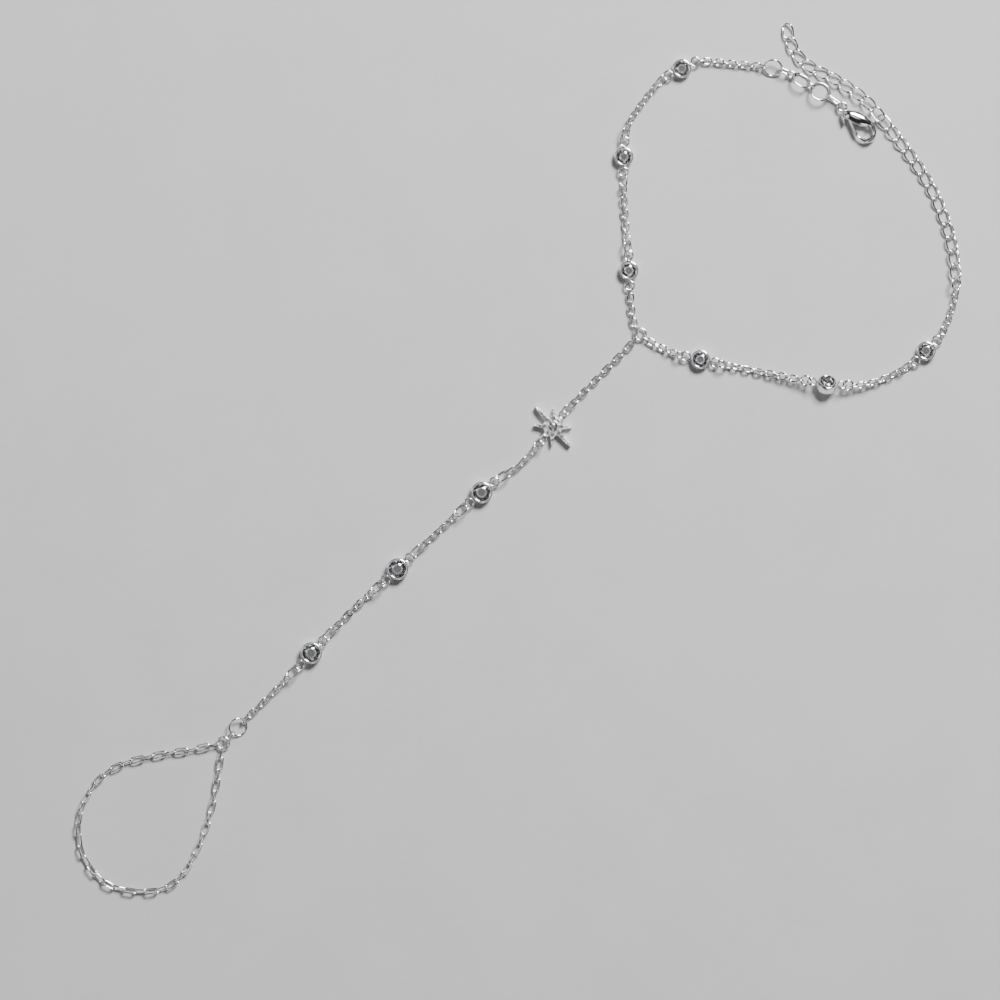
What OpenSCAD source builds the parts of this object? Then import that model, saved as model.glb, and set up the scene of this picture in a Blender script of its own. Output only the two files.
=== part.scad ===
/* [Wrist cable chain] */
// Length of one link of the wrist chain
cable_l = 2.1; // [2:0.05:2.3]
// Width of one link of the wrist chain
cable_w = 1.6; // [1.5:0.05:1.75]
// Wire of the wrist chain
cable_wire = 0.36; // [0.32:0.01:0.38]

/* [Hand cable chain] */
// Length of one link of the hand chain
hand_l = 2.5; // [2.4:0.05:2.7]
// Width of one link of the hand chain
hand_w = 1.6; // [1.5:0.05:1.75]
// Wire of the hand chain
hand_wire = 0.38; // [0.34:0.01:0.4]

/* [Finger cable chain] */
// Length of one link of the finger loop
finger_l = 3.05; // [2.95:0.05:3.15]
// Width of one link of the finger loop
finger_w = 1.5; // [1.4:0.05:1.65]
// Wire of the finger loop
finger_wire = 0.35; // [0.3:0.01:0.36]
// Number of links in the finger loop
finger_links = 42; // [38:1:46]

/* [Extender chain] */
// Length of one curb link
curb_l = 3.95; // [3.85:0.05:4.1]
// Width of one curb link
curb_w = 2.5; // [2.4:0.05:2.6]
// Wire of the curb links
curb_wire = 0.45; // [0.4:0.01:0.46]
// Turn of a curb link's end out of its middle plane
curb_twist = 40; // [36:1:48]
// Number of curb links inside the wrist loop
loop_curbs = 13; // [11:1:15]
// Number of curb links on the free end
free_curbs = 10; // [6:1:12]

/* [Settings] */
// Diameter of a wrist stone
wrist_stone_d = 3; // [2.8:0.05:3.2]
// Height of a wrist setting
wrist_setting_h = 1.75; // [1.65:0.05:2]
// Diameter of a hand stone
hand_stone_d = 3.5; // [3.3:0.05:3.8]
// Height of a hand setting
hand_setting_h = 2; // [1.9:0.05:2.3]
// Wall of a setting round its stone
setting_wall = 0.4; // [0.3:0.05:0.5]
// Bevel on the edges of a setting
setting_edge = 0.1; // [0.05:0.01:0.14]
// Outer diameter of the soldered end rings
end_ring_d = 2.2; // [2.1:0.05:2.4]
// Wire of the soldered end rings
end_ring_wire = 0.4; // [0.35:0.01:0.44]
// Turn of the one setting that leans on its edge
lean = 42; // [36:1:46]

/* [Jump rings] */
// Wire of the loose jump rings
jump_wire = 0.42; // [0.36:0.01:0.44]
// Roll of a jump ring out of the plane of the end rings
ring_roll = 55; // [53:1:58]
// Length of an oval wrist ring
wrist_ring_l = 3.3; // [3.1:0.05:3.6]
// Width of an oval wrist ring
wrist_ring_w = 2.6; // [2.4:0.05:2.8]
// Diameter of a small wrist ring
small_ring_d = 2.4; // [2.3:0.05:2.6]
// Diameter of a middle wrist ring
round_ring_d = 2.7; // [2.6:0.05:2.9]
// Length of an oval hand ring
hand_ring_l = 4; // [3.8:0.05:4.3]
// Width of an oval hand ring
hand_ring_w = 3; // [2.8:0.05:3.1]
// Diameter of the rings at the star
star_ring_d = 3; // [2.8:0.05:3.1]
// Diameter of the yoke ring where the three strands meet
yoke_d = 2.8; // [2.6:0.05:3]
// Diameter of the large thin ring at the finger
big_ring_d = 4; // [3.8:0.05:4.3]
// Length of the link between the large ring and the gathering ring
connector_l = 3; // [2.8:0.05:3.3]
// Width of the link between the large ring and the gathering ring
connector_w = 2; // [1.8:0.05:2.2]
// Diameter of the ring that gathers the finger loop
gather_d = 2.8; // [2.6:0.05:3]
// Diameter of the ring that joins the extender
extender_ring_d = 3.2; // [3:0.05:3.4]

/* [Clasp tail] */
// Diameter of the first ring of the tail
tail_ring_d = 4; // [3.8:0.05:4.2]
// Length of the short link of the tail
tail_link_l = 3; // [2.8:0.05:3.2]
// Width of the short link of the tail
tail_link_w = 2; // [1.8:0.05:2.2]
// Length of the oval ring of the tail
tail_oval_l = 4.2; // [4:0.05:4.5]
// Width of the oval ring of the tail
tail_oval_w = 3.3; // [3.1:0.05:3.4]
// Diameter of the round ring of the tail
tail_round_d = 4.4; // [4.2:0.05:4.5]
// Length of the long link at the clasp
tail_long_l = 4.2; // [4:0.05:4.5]
// Width of the long link at the clasp
tail_long_w = 1.9; // [1.8:0.05:2.1]

/* [Clasp] */
// Length of the clasp from the middle of its loop to the far end
clasp_l = 8.8; // [8.6:0.05:9.2]
// Width of the clasp's outline
clasp_w = 4; // [3.9:0.05:4.2]
// Thickness of the clasp's shoulder
clasp_t = 2.1; // [2:0.05:2.4]
// Outer diameter of the clasp's loop
clasp_loop_d = 2.2; // [2.1:0.05:2.4]
// Wire of the clasp's loop
clasp_loop_wire = 0.5; // [0.4:0.05:0.5]
// Thickness of the lever across the clasp
lever_t = 0.8; // [0.7:0.05:0.9]
// Width of the lever bar
lever_w = 0.66; // [0.6:0.02:0.7]
// Diameter of the lever's pin
pin_d = 0.6; // [0.5:0.02:0.64]

/* [Star] */
// Length of a long arm of the star
star_long = 5.3; // [5:0.1:5.6]
// Length of a short arm of the star
star_short = 3.8; // [3.5:0.1:4.1]
// Thickness of the star's plate
star_t = 1.4; // [1.3:0.05:1.6]
// Radius of the star's hub
hub_r = 2.05; // [1.95:0.05:2.15]
// Diameter of the stone in the middle of the star
star_stone_d = 1.9; // [1.8:0.05:2]
// Height of the collar of the middle stone over the plate
collar_h = 0.4; // [0.3:0.05:0.5]
// Diameter of the largest small stone
pave_d = 0.84; // [0.76:0.02:0.86]

/* [Clearances] */
// Gap between the wires of two chain links
link_gap = 0.14; // [0.12:0.01:0.2]
// Gap between the wires of two curb links
curb_gap = 0.24; // [0.22:0.01:0.26]
// Gap between the wires at a ring
ring_gap = 0.22; // [0.2:0.01:0.26]
// Gap between a stone and its seat
stone_gap = 0.03; // [0.02:0.005:0.05]
// Running gap round the lever's pin
pin_gap = 0.03; // [0.02:0.005:0.05]
// Gap between the hook of the clasp and the chain beside it
hook_gap = 0.4; // [0.35:0.05:0.5]
// Gap beside the lever in its slot
slot_gap = 0.06; // [0.05:0.01:0.1]
// Height of the lowest wire over the floor
lift = 0.03; // [0.01:0.01:0.1]

/* [Hidden] */
$fn = $preview ? 24 : 32;
steel = "silver";
gem = "aliceblue";

// Routes of the strands as chosen points: the wrist loop from the yoke and back to it,
// the hand strand from the yoke to the finger, the finger loop and the free end of the extender.
ROUTES = [
  [[24.5, 24.7], [23.1, 27.4], [22.4, 34.5], [22.3, 38], [22.0, 42.7], [21.5, 48], [21.2, 54],
    [21.2, 61.2], [21.9, 66], [24.6, 70.4], [28.4, 75], [32.8, 78.4], [36, 79.3], [42, 78.8],
    [50.8, 77.9], [54, 76.9], [57.5, 74.8], [61.4, 72.6], [64.9, 70.3], [68, 69.3], [71.6, 68.6],
    [74, 66.2], [76.8, 62.6], [80, 58.2], [82.8, 53.6], [85.2, 48], [86.8, 42.6], [87.5, 36.8],
    [87.5, 32.6], [86.2, 28], [84.2, 23.9], [82.2, 21.6], [78.6, 18.6], [73, 15.8], [67.5, 14.4],
    [62.8, 14.9], [57.6, 15.4], [45, 17.9], [36.8, 19.6], [31.3, 20.9], [26.6, 23.2], [24.5, 24.7]],
  [[24.5, 24.7], [21, 20.9], [16.3, 16.2], [11.5, 11.3], [7.1, 6.4], [1.1, -0.9], [-3.9, -4.3],
    [-7.5, -7], [-14.5, -13.5], [-24.1, -22.4], [-32.3, -29.8], [-41.3, -39.1], [-49.9, -48],
    [-55.1, -53], [-59.1, -57.3]],
  [[-59.1, -57.3], [-61.9, -57.9], [-66.1, -58.8], [-70.1, -59.3], [-74.5, -60.2], [-78.7, -61.3],
    [-82.5, -63.3], [-85.6, -66.7], [-87.9, -72.3], [-87.5, -78.5], [-85.5, -82.3], [-82.5, -85.3],
    [-78.1, -86.7], [-73, -86.8], [-69.6, -85.7], [-67, -83.2], [-65, -79.9], [-62.8, -75],
    [-61.2, -69.5], [-60.2, -64], [-59.6, -60], [-59.1, -57.3]],
  [[71.9, 68], [70.2, 70.2], [68.2, 72.3], [66, 73.9], [63.6, 75.5], [61, 76.9], [58.5, 78],
    [56.3, 79.4], [54.5, 81.4], [53.3, 84.1], [52.7, 87.2]],
];

// Points of a smooth line through the chosen points, a few to each span
SPANS = 10;
function ease(a, b, c, d, t) =
  (2 * b + (c - a) * t + (2 * a - 5 * b + 4 * c - d) * t * t + (3 * b - a - 3 * c + d) * t * t * t) / 2;
function trace(p) = [
  for (i = [0:len(p) - 2], j = [0:SPANS - 1])
    ease(p[max(i - 1, 0)], p[i], p[i + 1], p[min(i + 2, len(p) - 1)], j / SPANS),
  p[len(p) - 1]
];
function lengths(p) = [
  for (i = 0, s = 0; i < len(p); i = i + 1, s = s + norm(p[min(i, len(p) - 1)] - p[i - 1])) s
];
// A line is kept as two tables, of X and of Y over the length along it
function line(p) =
  let (q = trace(p), s = lengths(q))
  [[for (i = [0:len(q) - 1]) [s[i], q[i].x]], [for (i = [0:len(q) - 1]) [s[i], q[i].y]]];
function line_end(l) = l[0][len(l[0]) - 1][0];
function at(l, s) = [lookup(s, l[0]), lookup(s, l[1])];

// Heights of the middle planes over the floor
function rolled(w, wire, roll) = (w - wire) / 2 * sin(roll) + wire / 2 + lift;
wrist_ride = rolled(max(wrist_ring_w, small_ring_d, round_ring_d), jump_wire, ring_roll);
hand_ride = rolled(max(hand_ring_w, star_ring_d), jump_wire, ring_roll);
cable_ride = cable_w / 2 + lift;
hand_chain_ride = hand_w / 2 + lift;
finger_ride = finger_w / 2 + lift;
// A curb link is lowest where its end has turned by this share of the whole twist
curb_low = 0.62;
curb_ride = rolled(curb_w, curb_wire, curb_low * curb_twist);
tail_ride = 1.25;
clasp_ride = 1.3;
wrist_r = wrist_stone_d / 2 + stone_gap + setting_wall;
hand_r = hand_stone_d / 2 + stone_gap + setting_wall;
lean_ride = wrist_ride * cos(lean) + wrist_r * sin(lean) + lift;
lean_ring_ride = (lean_ride + wrist_ride) / 2;
lean_ring_roll = -20;
tail_roll = 30;
tail_long_roll = 74;
big_ring_roll = -25;
connector_roll = 64;
big_ride = rolled(big_ring_d, cable_wire, -big_ring_roll);

// Settings: how far the middle of an end ring lies from the stone, and the way between the joints
solder_bite = 0.02;
function reach(r) = r + end_ring_d / 2 - solder_bite;
function setting_way(r) = 2 * reach(r) + end_ring_d - 2 * end_ring_wire - ring_gap;
function link_way(l, wire, gap) = l - 2 * wire - gap;

// Star: middle of its loops from its own middle
star_loop_d = 1.8;
star_loop_wire = 0.4;
star_loop_x = hub_r + star_loop_d / 2 + 0.1;
star_way = 2 * star_loop_x + star_loop_d - 2 * star_loop_wire - ring_gap;
arm_root = 1.5;
arm_tip = 0.42;
// Turn of the star's arms against the strand
star_turn = -8.5;
neck_w = 1;

// Clasp, in a frame at the middle of its loop with X along its body.
// Sections of the body: X and Y of the middle, half width and half height, as shares of
// the clasp's length, width, width and thickness.
CLASP_SECTIONS = [
  [0.119, -0.019, 0.087, 0.2],
  [0.136, -0.003, 0.139, 0.36],
  [0.195, 0.02, 0.231, 0.46],
  [0.275, 0.093, 0.315, 0.5],
  [0.378, 0.222, 0.36, 0.5],
  [0.483, 0.369, 0.344, 0.48],
  [0.596, 0.513, 0.272, 0.42],
  [0.687, 0.632, 0.183, 0.32],
  [0.777, 0.665, 0.139, 0.28],
  [0.859, 0.618, 0.123, 0.26],
  [0.932, 0.5, 0.123, 0.25],
  [0.98, 0.328, 0.129, 0.245],
  [0.988, 0.121, 0.121, 0.24],
  [0.953, -0.059, 0.109, 0.235],
  [0.889, -0.153, 0.083, 0.2],
  [0.835, -0.19, 0.065, 0.15],
  [0.782, -0.228, 0.05, 0.11],
];
ARM = 7;
clasp_sides = 14;
arm_x = 0.73 * clasp_l;
arm_outer = (CLASP_SECTIONS[ARM][1] + CLASP_SECTIONS[ARM][2]) * clasp_w;
// Where the outer end wire of the hooked link stands
hook_y = arm_outer + curb_w / 2 + hook_gap;
hook_near = (curb_wire + curb_gap) / 2;
curb_stack = 0.9 * curb_wire;
loop_x = clasp_loop_d / 2 - clasp_loop_wire - ring_gap / 2;
clasp_chord = [arm_x - hook_near + loop_x, hook_y];
pivot = [0.247 * clasp_l, -0.07 * clasp_w];
knuckle_r = 0.65;
knuckle_h = 0.84 * clasp_t;
lever_hub_r = 0.55;
lever_end = [0.7 * clasp_l, -0.247 * clasp_w];
tab_from = [0.136 * clasp_l, -0.25 * clasp_w];
tab_to = [0.335 * clasp_l, -0.405 * clasp_w];
tab_w = 0.34;
tab_neck_w = 0.5;
pin_seat = 0.005;
slot_reach = 3.2;
slot_side = 0.15;
slot_from = -130;
slot_to = 5;
lever_swing = 18;

// Kinds of item on a strand: name, length, width, wire, way from joint to joint, height
KINDS = [
  ["cable", cable_l, cable_w, cable_wire, link_way(cable_l, cable_wire, link_gap), cable_ride],
  ["hand", hand_l, hand_w, hand_wire, link_way(hand_l, hand_wire, link_gap), hand_chain_ride],
  ["finger", finger_l, finger_w, finger_wire, link_way(finger_l, finger_wire, link_gap), finger_ride],
  ["curb", curb_l, curb_w, curb_wire, link_way(curb_l, curb_wire, curb_gap), curb_ride],
  ["wrist ring", wrist_ring_l, wrist_ring_w, jump_wire,
    link_way(wrist_ring_l, jump_wire, ring_gap), wrist_ride],
  ["small ring", small_ring_d, small_ring_d, jump_wire,
    link_way(small_ring_d, jump_wire, ring_gap), wrist_ride],
  ["high ring", small_ring_d, small_ring_d, jump_wire,
    link_way(small_ring_d, jump_wire, ring_gap), lean_ring_ride],
  ["round ring", round_ring_d, round_ring_d, jump_wire,
    link_way(round_ring_d, jump_wire, ring_gap), wrist_ride],
  ["hand ring", hand_ring_l, hand_ring_w, jump_wire,
    link_way(hand_ring_l, jump_wire, ring_gap), hand_ride],
  ["star ring", star_ring_d, star_ring_d, jump_wire,
    link_way(star_ring_d, jump_wire, ring_gap), hand_ride],
  ["extender ring", extender_ring_d, extender_ring_d, curb_wire,
    link_way(extender_ring_d, curb_wire, ring_gap), rolled(extender_ring_d, curb_wire, ring_roll)],
  ["tail ring", tail_ring_d, tail_ring_d, jump_wire,
    link_way(tail_ring_d, jump_wire, ring_gap), tail_ride],
  ["tail link", tail_link_l, tail_link_w, jump_wire,
    link_way(tail_link_l, jump_wire, ring_gap), tail_ride],
  ["tail oval", tail_oval_l, tail_oval_w, jump_wire,
    link_way(tail_oval_l, jump_wire, ring_gap), tail_ride],
  ["tail round", tail_round_d, tail_round_d, jump_wire,
    link_way(tail_round_d, jump_wire, ring_gap), tail_ride],
  ["tail long", tail_long_l, tail_long_w, jump_wire,
    link_way(tail_long_l, jump_wire, ring_gap), clasp_ride],
  ["big ring", big_ring_d, big_ring_d, cable_wire,
    link_way(big_ring_d, cable_wire, ring_gap), big_ride],
  ["connector", connector_l, connector_w, jump_wire,
    link_way(connector_l, jump_wire, ring_gap), rolled(connector_w, jump_wire, connector_roll)],
  ["gather ring", gather_d, gather_d, jump_wire, link_way(gather_d, jump_wire, ring_gap), finger_ride],
  ["wrist setting", 0, 0, 0, setting_way(wrist_r), wrist_ride],
  ["leaning setting", 0, 0, 0, setting_way(wrist_r), lean_ride],
  ["hand setting", 0, 0, 0, setting_way(hand_r), hand_ride],
  ["star", 0, 0, 0, star_way, hand_ride],
  ["clasp", 0, 0, 0, norm(clasp_chord), clasp_ride],
];
function kind(name) = KINDS[search([name], KINDS)[0]];

// Rows of a strand: node, kind, how many, share of slack, roll or none where it follows its neighbours
FREE = undef;
WRIST = [
  ["wrist_chain_1", "cable", 7, 0, FREE],
  ["wrist_bezel_1", "wrist setting", 1, 0, 0],
  ["wrist_rings_1", "wrist ring", 1, 0, ring_roll],
  ["wrist_chain_2", "cable", 9, 0, FREE],
  ["wrist_rings_2", "wrist ring", 1, 0, -ring_roll],
  ["wrist_bezel_2", "wrist setting", 1, 0, 0],
  ["wrist_rings_2", "wrist ring", 1, 0, ring_roll],
  ["wrist_chain_3", "cable", 9, 0.04, FREE],
  ["wrist_rings_3", "wrist ring", 1, 0, ring_roll],
  ["wrist_bezel_3", "wrist setting", 1, 0, 0],
  ["wrist_chain_4", "cable", 11, 0, FREE],
  ["clasp_tail", "tail ring", 1, 0, tail_roll],
  ["clasp_tail", "tail link", 1, 0, tail_roll - 90],
  ["clasp_tail", "cable", 1, 0, tail_roll],
  ["clasp_tail", "tail oval", 1, 0, -40],
  ["clasp_tail", "cable", 1, 0, 45],
  ["clasp_tail", "tail round", 1, 0, -tail_roll],
  ["clasp_tail", "tail long", 1, 0, tail_long_roll],
  ["clasp_body", "clasp", 1, 0, 0],
  ["extender_chain", "curb", loop_curbs, 0, 0],
  ["extender_ring", "extender ring", 1, 0, curb_twist - 90],
  ["wrist_chain_5", "cable", 9, 0.05, FREE],
  ["wrist_bezel_4", "wrist setting", 1, 0, 0],
  ["wrist_rings_4", "wrist ring", 1, 0, -ring_roll],
  ["wrist_chain_6", "cable", 9, 0, FREE],
  ["wrist_rings_5", "high ring", 1, 0, lean_ring_roll],
  ["wrist_bezel_5", "leaning setting", 1, 0, lean],
  ["wrist_rings_5", "high ring", 1, 0, lean_ring_roll],
  ["wrist_chain_7", "cable", 13, 0.03, FREE],
  ["wrist_rings_6", "round ring", 1, 0, ring_roll],
  ["wrist_bezel_6", "wrist setting", 1, 0, 0],
  ["wrist_rings_6", "small ring", 1, 0, ring_roll],
  ["wrist_chain_8", "cable", 6, 0, FREE],
];
HAND = [
  ["hand_chain_1", "hand", 12, 0, FREE],
  ["star_rings", "star ring", 1, 0, -ring_roll],
  ["star_setting", "star", 1, 0, 0],
  ["star_rings", "star ring", 1, 0, ring_roll],
  ["hand_chain_2", "hand", 5, 0.075, FREE],
  ["hand_rings_1", "hand ring", 1, 0, ring_roll],
  ["hand_bezel_1", "hand setting", 1, 0, 0],
  ["hand_rings_1", "hand ring", 1, 0, ring_roll],
  ["hand_chain_3", "hand", 6, 0.04, FREE],
  ["hand_rings_2", "hand ring", 1, 0, -ring_roll],
  ["hand_bezel_2", "hand setting", 1, 0, 0],
  ["hand_rings_2", "hand ring", 1, 0, ring_roll],
  ["hand_chain_4", "hand", 7, 0.06, FREE],
  ["hand_rings_3", "hand ring", 1, 0, -ring_roll],
  ["hand_bezel_3", "hand setting", 1, 0, 0],
  ["hand_rings_3", "hand ring", 1, 0, ring_roll],
  ["hand_chain_5", "hand", 8, 0.02, FREE],
  ["finger_rings", "big ring", 1, 0, big_ring_roll],
  ["finger_rings", "connector", 1, 0, connector_roll],
];
FINGER = [["finger_chain", "finger", finger_links, 0, FREE]];
TAIL = [["extender_chain", "curb", free_curbs, 0, 0]];

// A roll counts the same after half a turn
function wrap(a) = a - 180 * round(a / 180);
function row_roll(rows, i, outside) = i < 0 || i >= len(rows) ? outside : rows[i][4];
function item_roll(rows, i, j) =
  let (own = rows[i][4], n = rows[i][2], from = row_roll(rows, i - 1, 0), to = row_roll(rows, i + 1, 0))
  own != FREE ? own : from + 90 * (j + 1) + wrap(to - from - 90 * (n + 1)) * (j + 1) / (n + 1);
// Items of a strand: node, kind, way, height, roll, number in its row
function items(rows) = [
  for (i = [0:len(rows) - 1], j = [0:rows[i][2] - 1])
    let (k = kind(rows[i][1]))
    [rows[i][0], k[0], k[4] * (1 - rows[i][3]), k[5], item_roll(rows, i, j), j]
];
// Heights of the joints: the higher of the two items sets its joint,
// and beside a high joint the strand comes down a little at each item
drop = 0.16;
function rests(its, first, last) = [
  for (i = [0:len(its)])
    let (before = i == 0 ? first : its[i - 1][3], after = i == len(its) ? last : its[i][3])
    i > 0 && its[i - 1][1] == "clasp" ? clasp_ride - curb_stack : max(before, after)
];
function heights(its, first, last) =
  let (z = rests(its, first, last))
  [for (i = [0:len(z) - 1]) max([for (j = [0:len(z) - 1]) z[j] - drop * abs(i - j)])];
// Ways of the items as seen from above
function plans(its, z) = [
  for (i = [0:len(its) - 1])
    its[i][1] == "clasp" ? its[i][2] : sqrt(its[i][2] * its[i][2] - pow(z[i + 1] - z[i], 2))
];

// A step of given chord along a line
function step(l, s, c) =
  let (a = at(l, s), c1 = norm(at(l, s + c) - a), s2 = c * c / c1, c2 = norm(at(l, s + s2) - a))
  s + s2 * c / c2;
function walk(l, first, ways, k) = [
  for (i = 0, s = first / k; i <= len(ways); s = i < len(ways) ? step(l, s, ways[i] / k) : s, i = i + 1) s
];
// Scale at which the line is as long as the items laid along it
function fit(l, first, last, ways, k, times) =
  times == 0 ? k :
  let (w = walk(l, first, ways, k))
  fit(l, first, last, ways, k * (w[len(w) - 1] + last / k) / line_end(l), times - 1);
FIT_TIMES = 5;
// Joints of a strand in space, laid along its line from a start point
function joints(route, start, first, last, its, z0, z1) =
  let (l = line(route), z = heights(its, z0, z1), ways = plans(its, z))
  let (k = fit(l, first, last, ways, (first + last + sum(ways)) / line_end(l), FIT_TIMES))
  let (w = walk(l, first, ways, k))
  [for (i = [0:len(its)]) let (q = start + k * (at(l, w[i]) - at(l, 0))) [q.x, q.y, z[i]]];
function sum(v, i = 0) = i < len(v) ? v[i] + sum(v, i + 1) : 0;
function heading(v) = atan2(v.y, v.x);
function turn(v, a) = [v.x * cos(a) - v.y * sin(a), v.x * sin(a) + v.y * cos(a)];
function flat(v) = [v.x, v.y];

yoke_hold = yoke_d / 2 - jump_wire - ring_gap / 2;
gather_hold = gather_d / 2 - jump_wire - ring_gap / 2;
WRIST_ITEMS = items(WRIST);
HAND_ITEMS = items(HAND);
FINGER_ITEMS = items(FINGER);
TAIL_ITEMS = items(TAIL);
WRIST_JOINTS = joints(ROUTES[0], [0, 0], yoke_hold, yoke_hold, WRIST_ITEMS, cable_ride, cable_ride);
HAND_JOINTS = joints(ROUTES[1], [0, 0], yoke_hold, gather_hold, HAND_ITEMS, cable_ride, finger_ride);
// Middle of the gathering ring, one hold past the last joint
hand_last = len(HAND_ITEMS);
gather_way = flat(HAND_JOINTS[hand_last] - HAND_JOINTS[hand_last - 1]);
gather_at = flat(HAND_JOINTS[hand_last]) + gather_hold * gather_way / norm(gather_way);
gather_z = HAND_JOINTS[hand_last].z;
FINGER_JOINTS = joints(ROUTES[2], gather_at, gather_hold, gather_hold, FINGER_ITEMS, gather_z, gather_z);

// The clasp hangs between its loop and the hooked link
clasp_item = [for (i = [0:len(WRIST_ITEMS) - 1]) if (WRIST_ITEMS[i][1] == "clasp") i][0];
clasp_way = flat(WRIST_JOINTS[clasp_item + 1] - WRIST_JOINTS[clasp_item]);
clasp_turn = heading(clasp_way) - heading(clasp_chord);
clasp_at = flat(WRIST_JOINTS[clasp_item]) + turn([loop_x, 0], clasp_turn);
tail_start = clasp_at + turn([arm_x + hook_near, hook_y], clasp_turn);
TAIL_JOINTS = joints(ROUTES[3], tail_start, 0, 0, TAIL_ITEMS, clasp_ride + curb_stack, curb_ride);

// The whole object stands with the middle of the star over the origin
star_item = [for (i = [0:len(HAND_ITEMS) - 1]) if (HAND_ITEMS[i][1] == "star") i][0];
star_at = flat(HAND_JOINTS[star_item] + HAND_JOINTS[star_item + 1]) / 2;

// Places its children between two joints, rolled about the line between them
module between(p, q, roll) {
  d = q - p;
  translate((p + q) / 2) rotate([roll, -atan2(d.z, norm(flat(d))), heading(d)]) children();
}

module ring(d, wire) {
  rotate_extrude() translate([(d - wire) / 2, 0]) circle(d = wire);
}

// A round or oval wire link, its long axis along X
module link(l, w, wire) {
  straight = (l - w) / 2;
  r = (w - wire) / 2;
  if (straight < 0.01) ring(l, wire);
  else {
    for (side = [0, 180])
      rotate(side) translate([straight, 0, 0]) rotate(-90) rotate_extrude(angle = 180)
        translate([r, 0]) circle(d = wire);
    for (side = [-1, 1])
      translate([-straight, side * r, 0]) rotate([0, 90, 0]) cylinder(d = wire, h = 2 * straight);
  }
}

// Middle line of an oval link as points, twelve to a link
function oval_line(l, w, wire) =
  let (r = (w - wire) / 2, straight = (l - w) / 2)
  [for (side = [0, 180], a = [-90:45:135])
    let (p = a > 90 ? [0, r] : [straight + r * cos(a), r * sin(a)]) turn(p, side)];
// The same line with its two ends turned out of plane; from a flat end the turn starts slowly
function twist_line(p, half, from, to) = [
  for (q = p)
    let (t = (q.x + half) / (2 * half), a = from + (to - from) * pow(t, from == 0 ? 2 : 1))
    [q.x, q.y * cos(a), q.y * sin(a)]
];
wire_sides = 6;
function unit(v) = v / norm(v);
function wire_skin(p, wire) =
  let (n = len(p), r = wire / 2)
  [for (i = [0:n - 1])
    let (t = unit(p[(i + 1) % n] - p[(i + n - 1) % n]), out = unit(cross(t, [0, 0, 1])), up = cross(out, t))
    for (j = [0:wire_sides - 1])
      let (a = 360 / wire_sides * (j + 0.5)) p[i] + r * (cos(a) * out + sin(a) * up)];
function tube_faces(n, m) = [
  for (i = [0:n - 1], j = [0:m - 1])
    [i * m + j, i * m + (j + 1) % m, (i + 1) % n * m + (j + 1) % m, (i + 1) % n * m + j]
];

// A curb link: an oval whose ends are turned, from one angle to another
module curb_link(from, to) {
  p = twist_line(oval_line(curb_l, curb_w, curb_wire), (curb_l - curb_wire) / 2, from, to);
  polyhedron(wire_skin(p, curb_wire), tube_faces(len(p), wire_sides), convexity = 6);
}

// Draws the items of one node along a strand
module strand(name, its, points, twist = curb_twist) {
  for (i = [0:len(its) - 1]) {
    if (its[i][0] == name) {
      k = kind(its[i][1]);
      between(points[i], points[i + 1], its[i][4]) {
        if (k[0] == "curb") curb_link(its[i][5] == 0 ? 0 : -twist, twist);
        else link(k[1], k[2], k[3]);
      }
    }
  }
}
module on_item(name, its, points) {
  for (i = [0:len(its) - 1])
    if (its[i][0] == name) between(points[i], points[i + 1], its[i][4]) children();
}
module in_place() {
  translate([-star_at.x, -star_at.y, 0]) children();
}

// Stones: height of the crown and how far the table stands over the rim
crown_share = 0.14;
table_share = 0.56;
girdle_share = 0.02;
culet_lift = 0.1;
table_proud = 0.03;
function girdle_z(d, h) = h - crown_share * d + table_proud;

// A round brilliant with its girdle at z = 0
module brilliant(d, depth) {
  r = d / 2;
  g = girdle_share * d / 2;
  crown = crown_share * d;
  mid_z = g + 0.55 * (crown - g);
  mid_r = 0.8 * r;
  low_r = 0.3 * r;
  low_z = -g - 0.72 * (depth - g);
  points = [
    for (i = [0:7]) [table_share * r * cos(45 * i), table_share * r * sin(45 * i), crown],
    for (i = [0:7]) [mid_r * cos(45 * i + 22.5), mid_r * sin(45 * i + 22.5), mid_z],
    for (i = [0:15]) [r * cos(22.5 * i), r * sin(22.5 * i), g],
    for (i = [0:15]) [r * cos(22.5 * i), r * sin(22.5 * i), -g],
    for (i = [0:7]) [low_r * cos(45 * i + 22.5), low_r * sin(45 * i + 22.5), low_z],
    [0, 0, -depth]
  ];
  faces = [
    [for (i = [7:-1:0]) i],
    for (i = [0:7]) let (n = (i + 1) % 8) [i, n, 8 + i],
    for (i = [0:7]) [i, 8 + i, 16 + 2 * i],
    for (i = [0:7]) let (b = (i + 7) % 8) [i, 16 + 2 * i, 8 + b],
    for (i = [0:7]) [8 + i, 16 + 2 * i + 1, 16 + 2 * i],
    for (i = [0:7]) [8 + i, 16 + (2 * i + 2) % 16, 16 + 2 * i + 1],
    for (i = [0:15]) let (n = (i + 1) % 16) [16 + i, 16 + n, 32 + n, 32 + i],
    for (i = [0:7]) [48 + i, 32 + 2 * i, 32 + 2 * i + 1],
    for (i = [0:7]) [48 + i, 32 + 2 * i + 1, 32 + (2 * i + 2) % 16],
    for (i = [0:7]) let (b = (i + 7) % 8) [56, 32 + 2 * i, 48 + i],
    for (i = [0:7]) let (b = (i + 7) % 8) [56, 48 + b, 32 + 2 * i]
  ];
  polyhedron(points, faces, convexity = 2);
}

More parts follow.
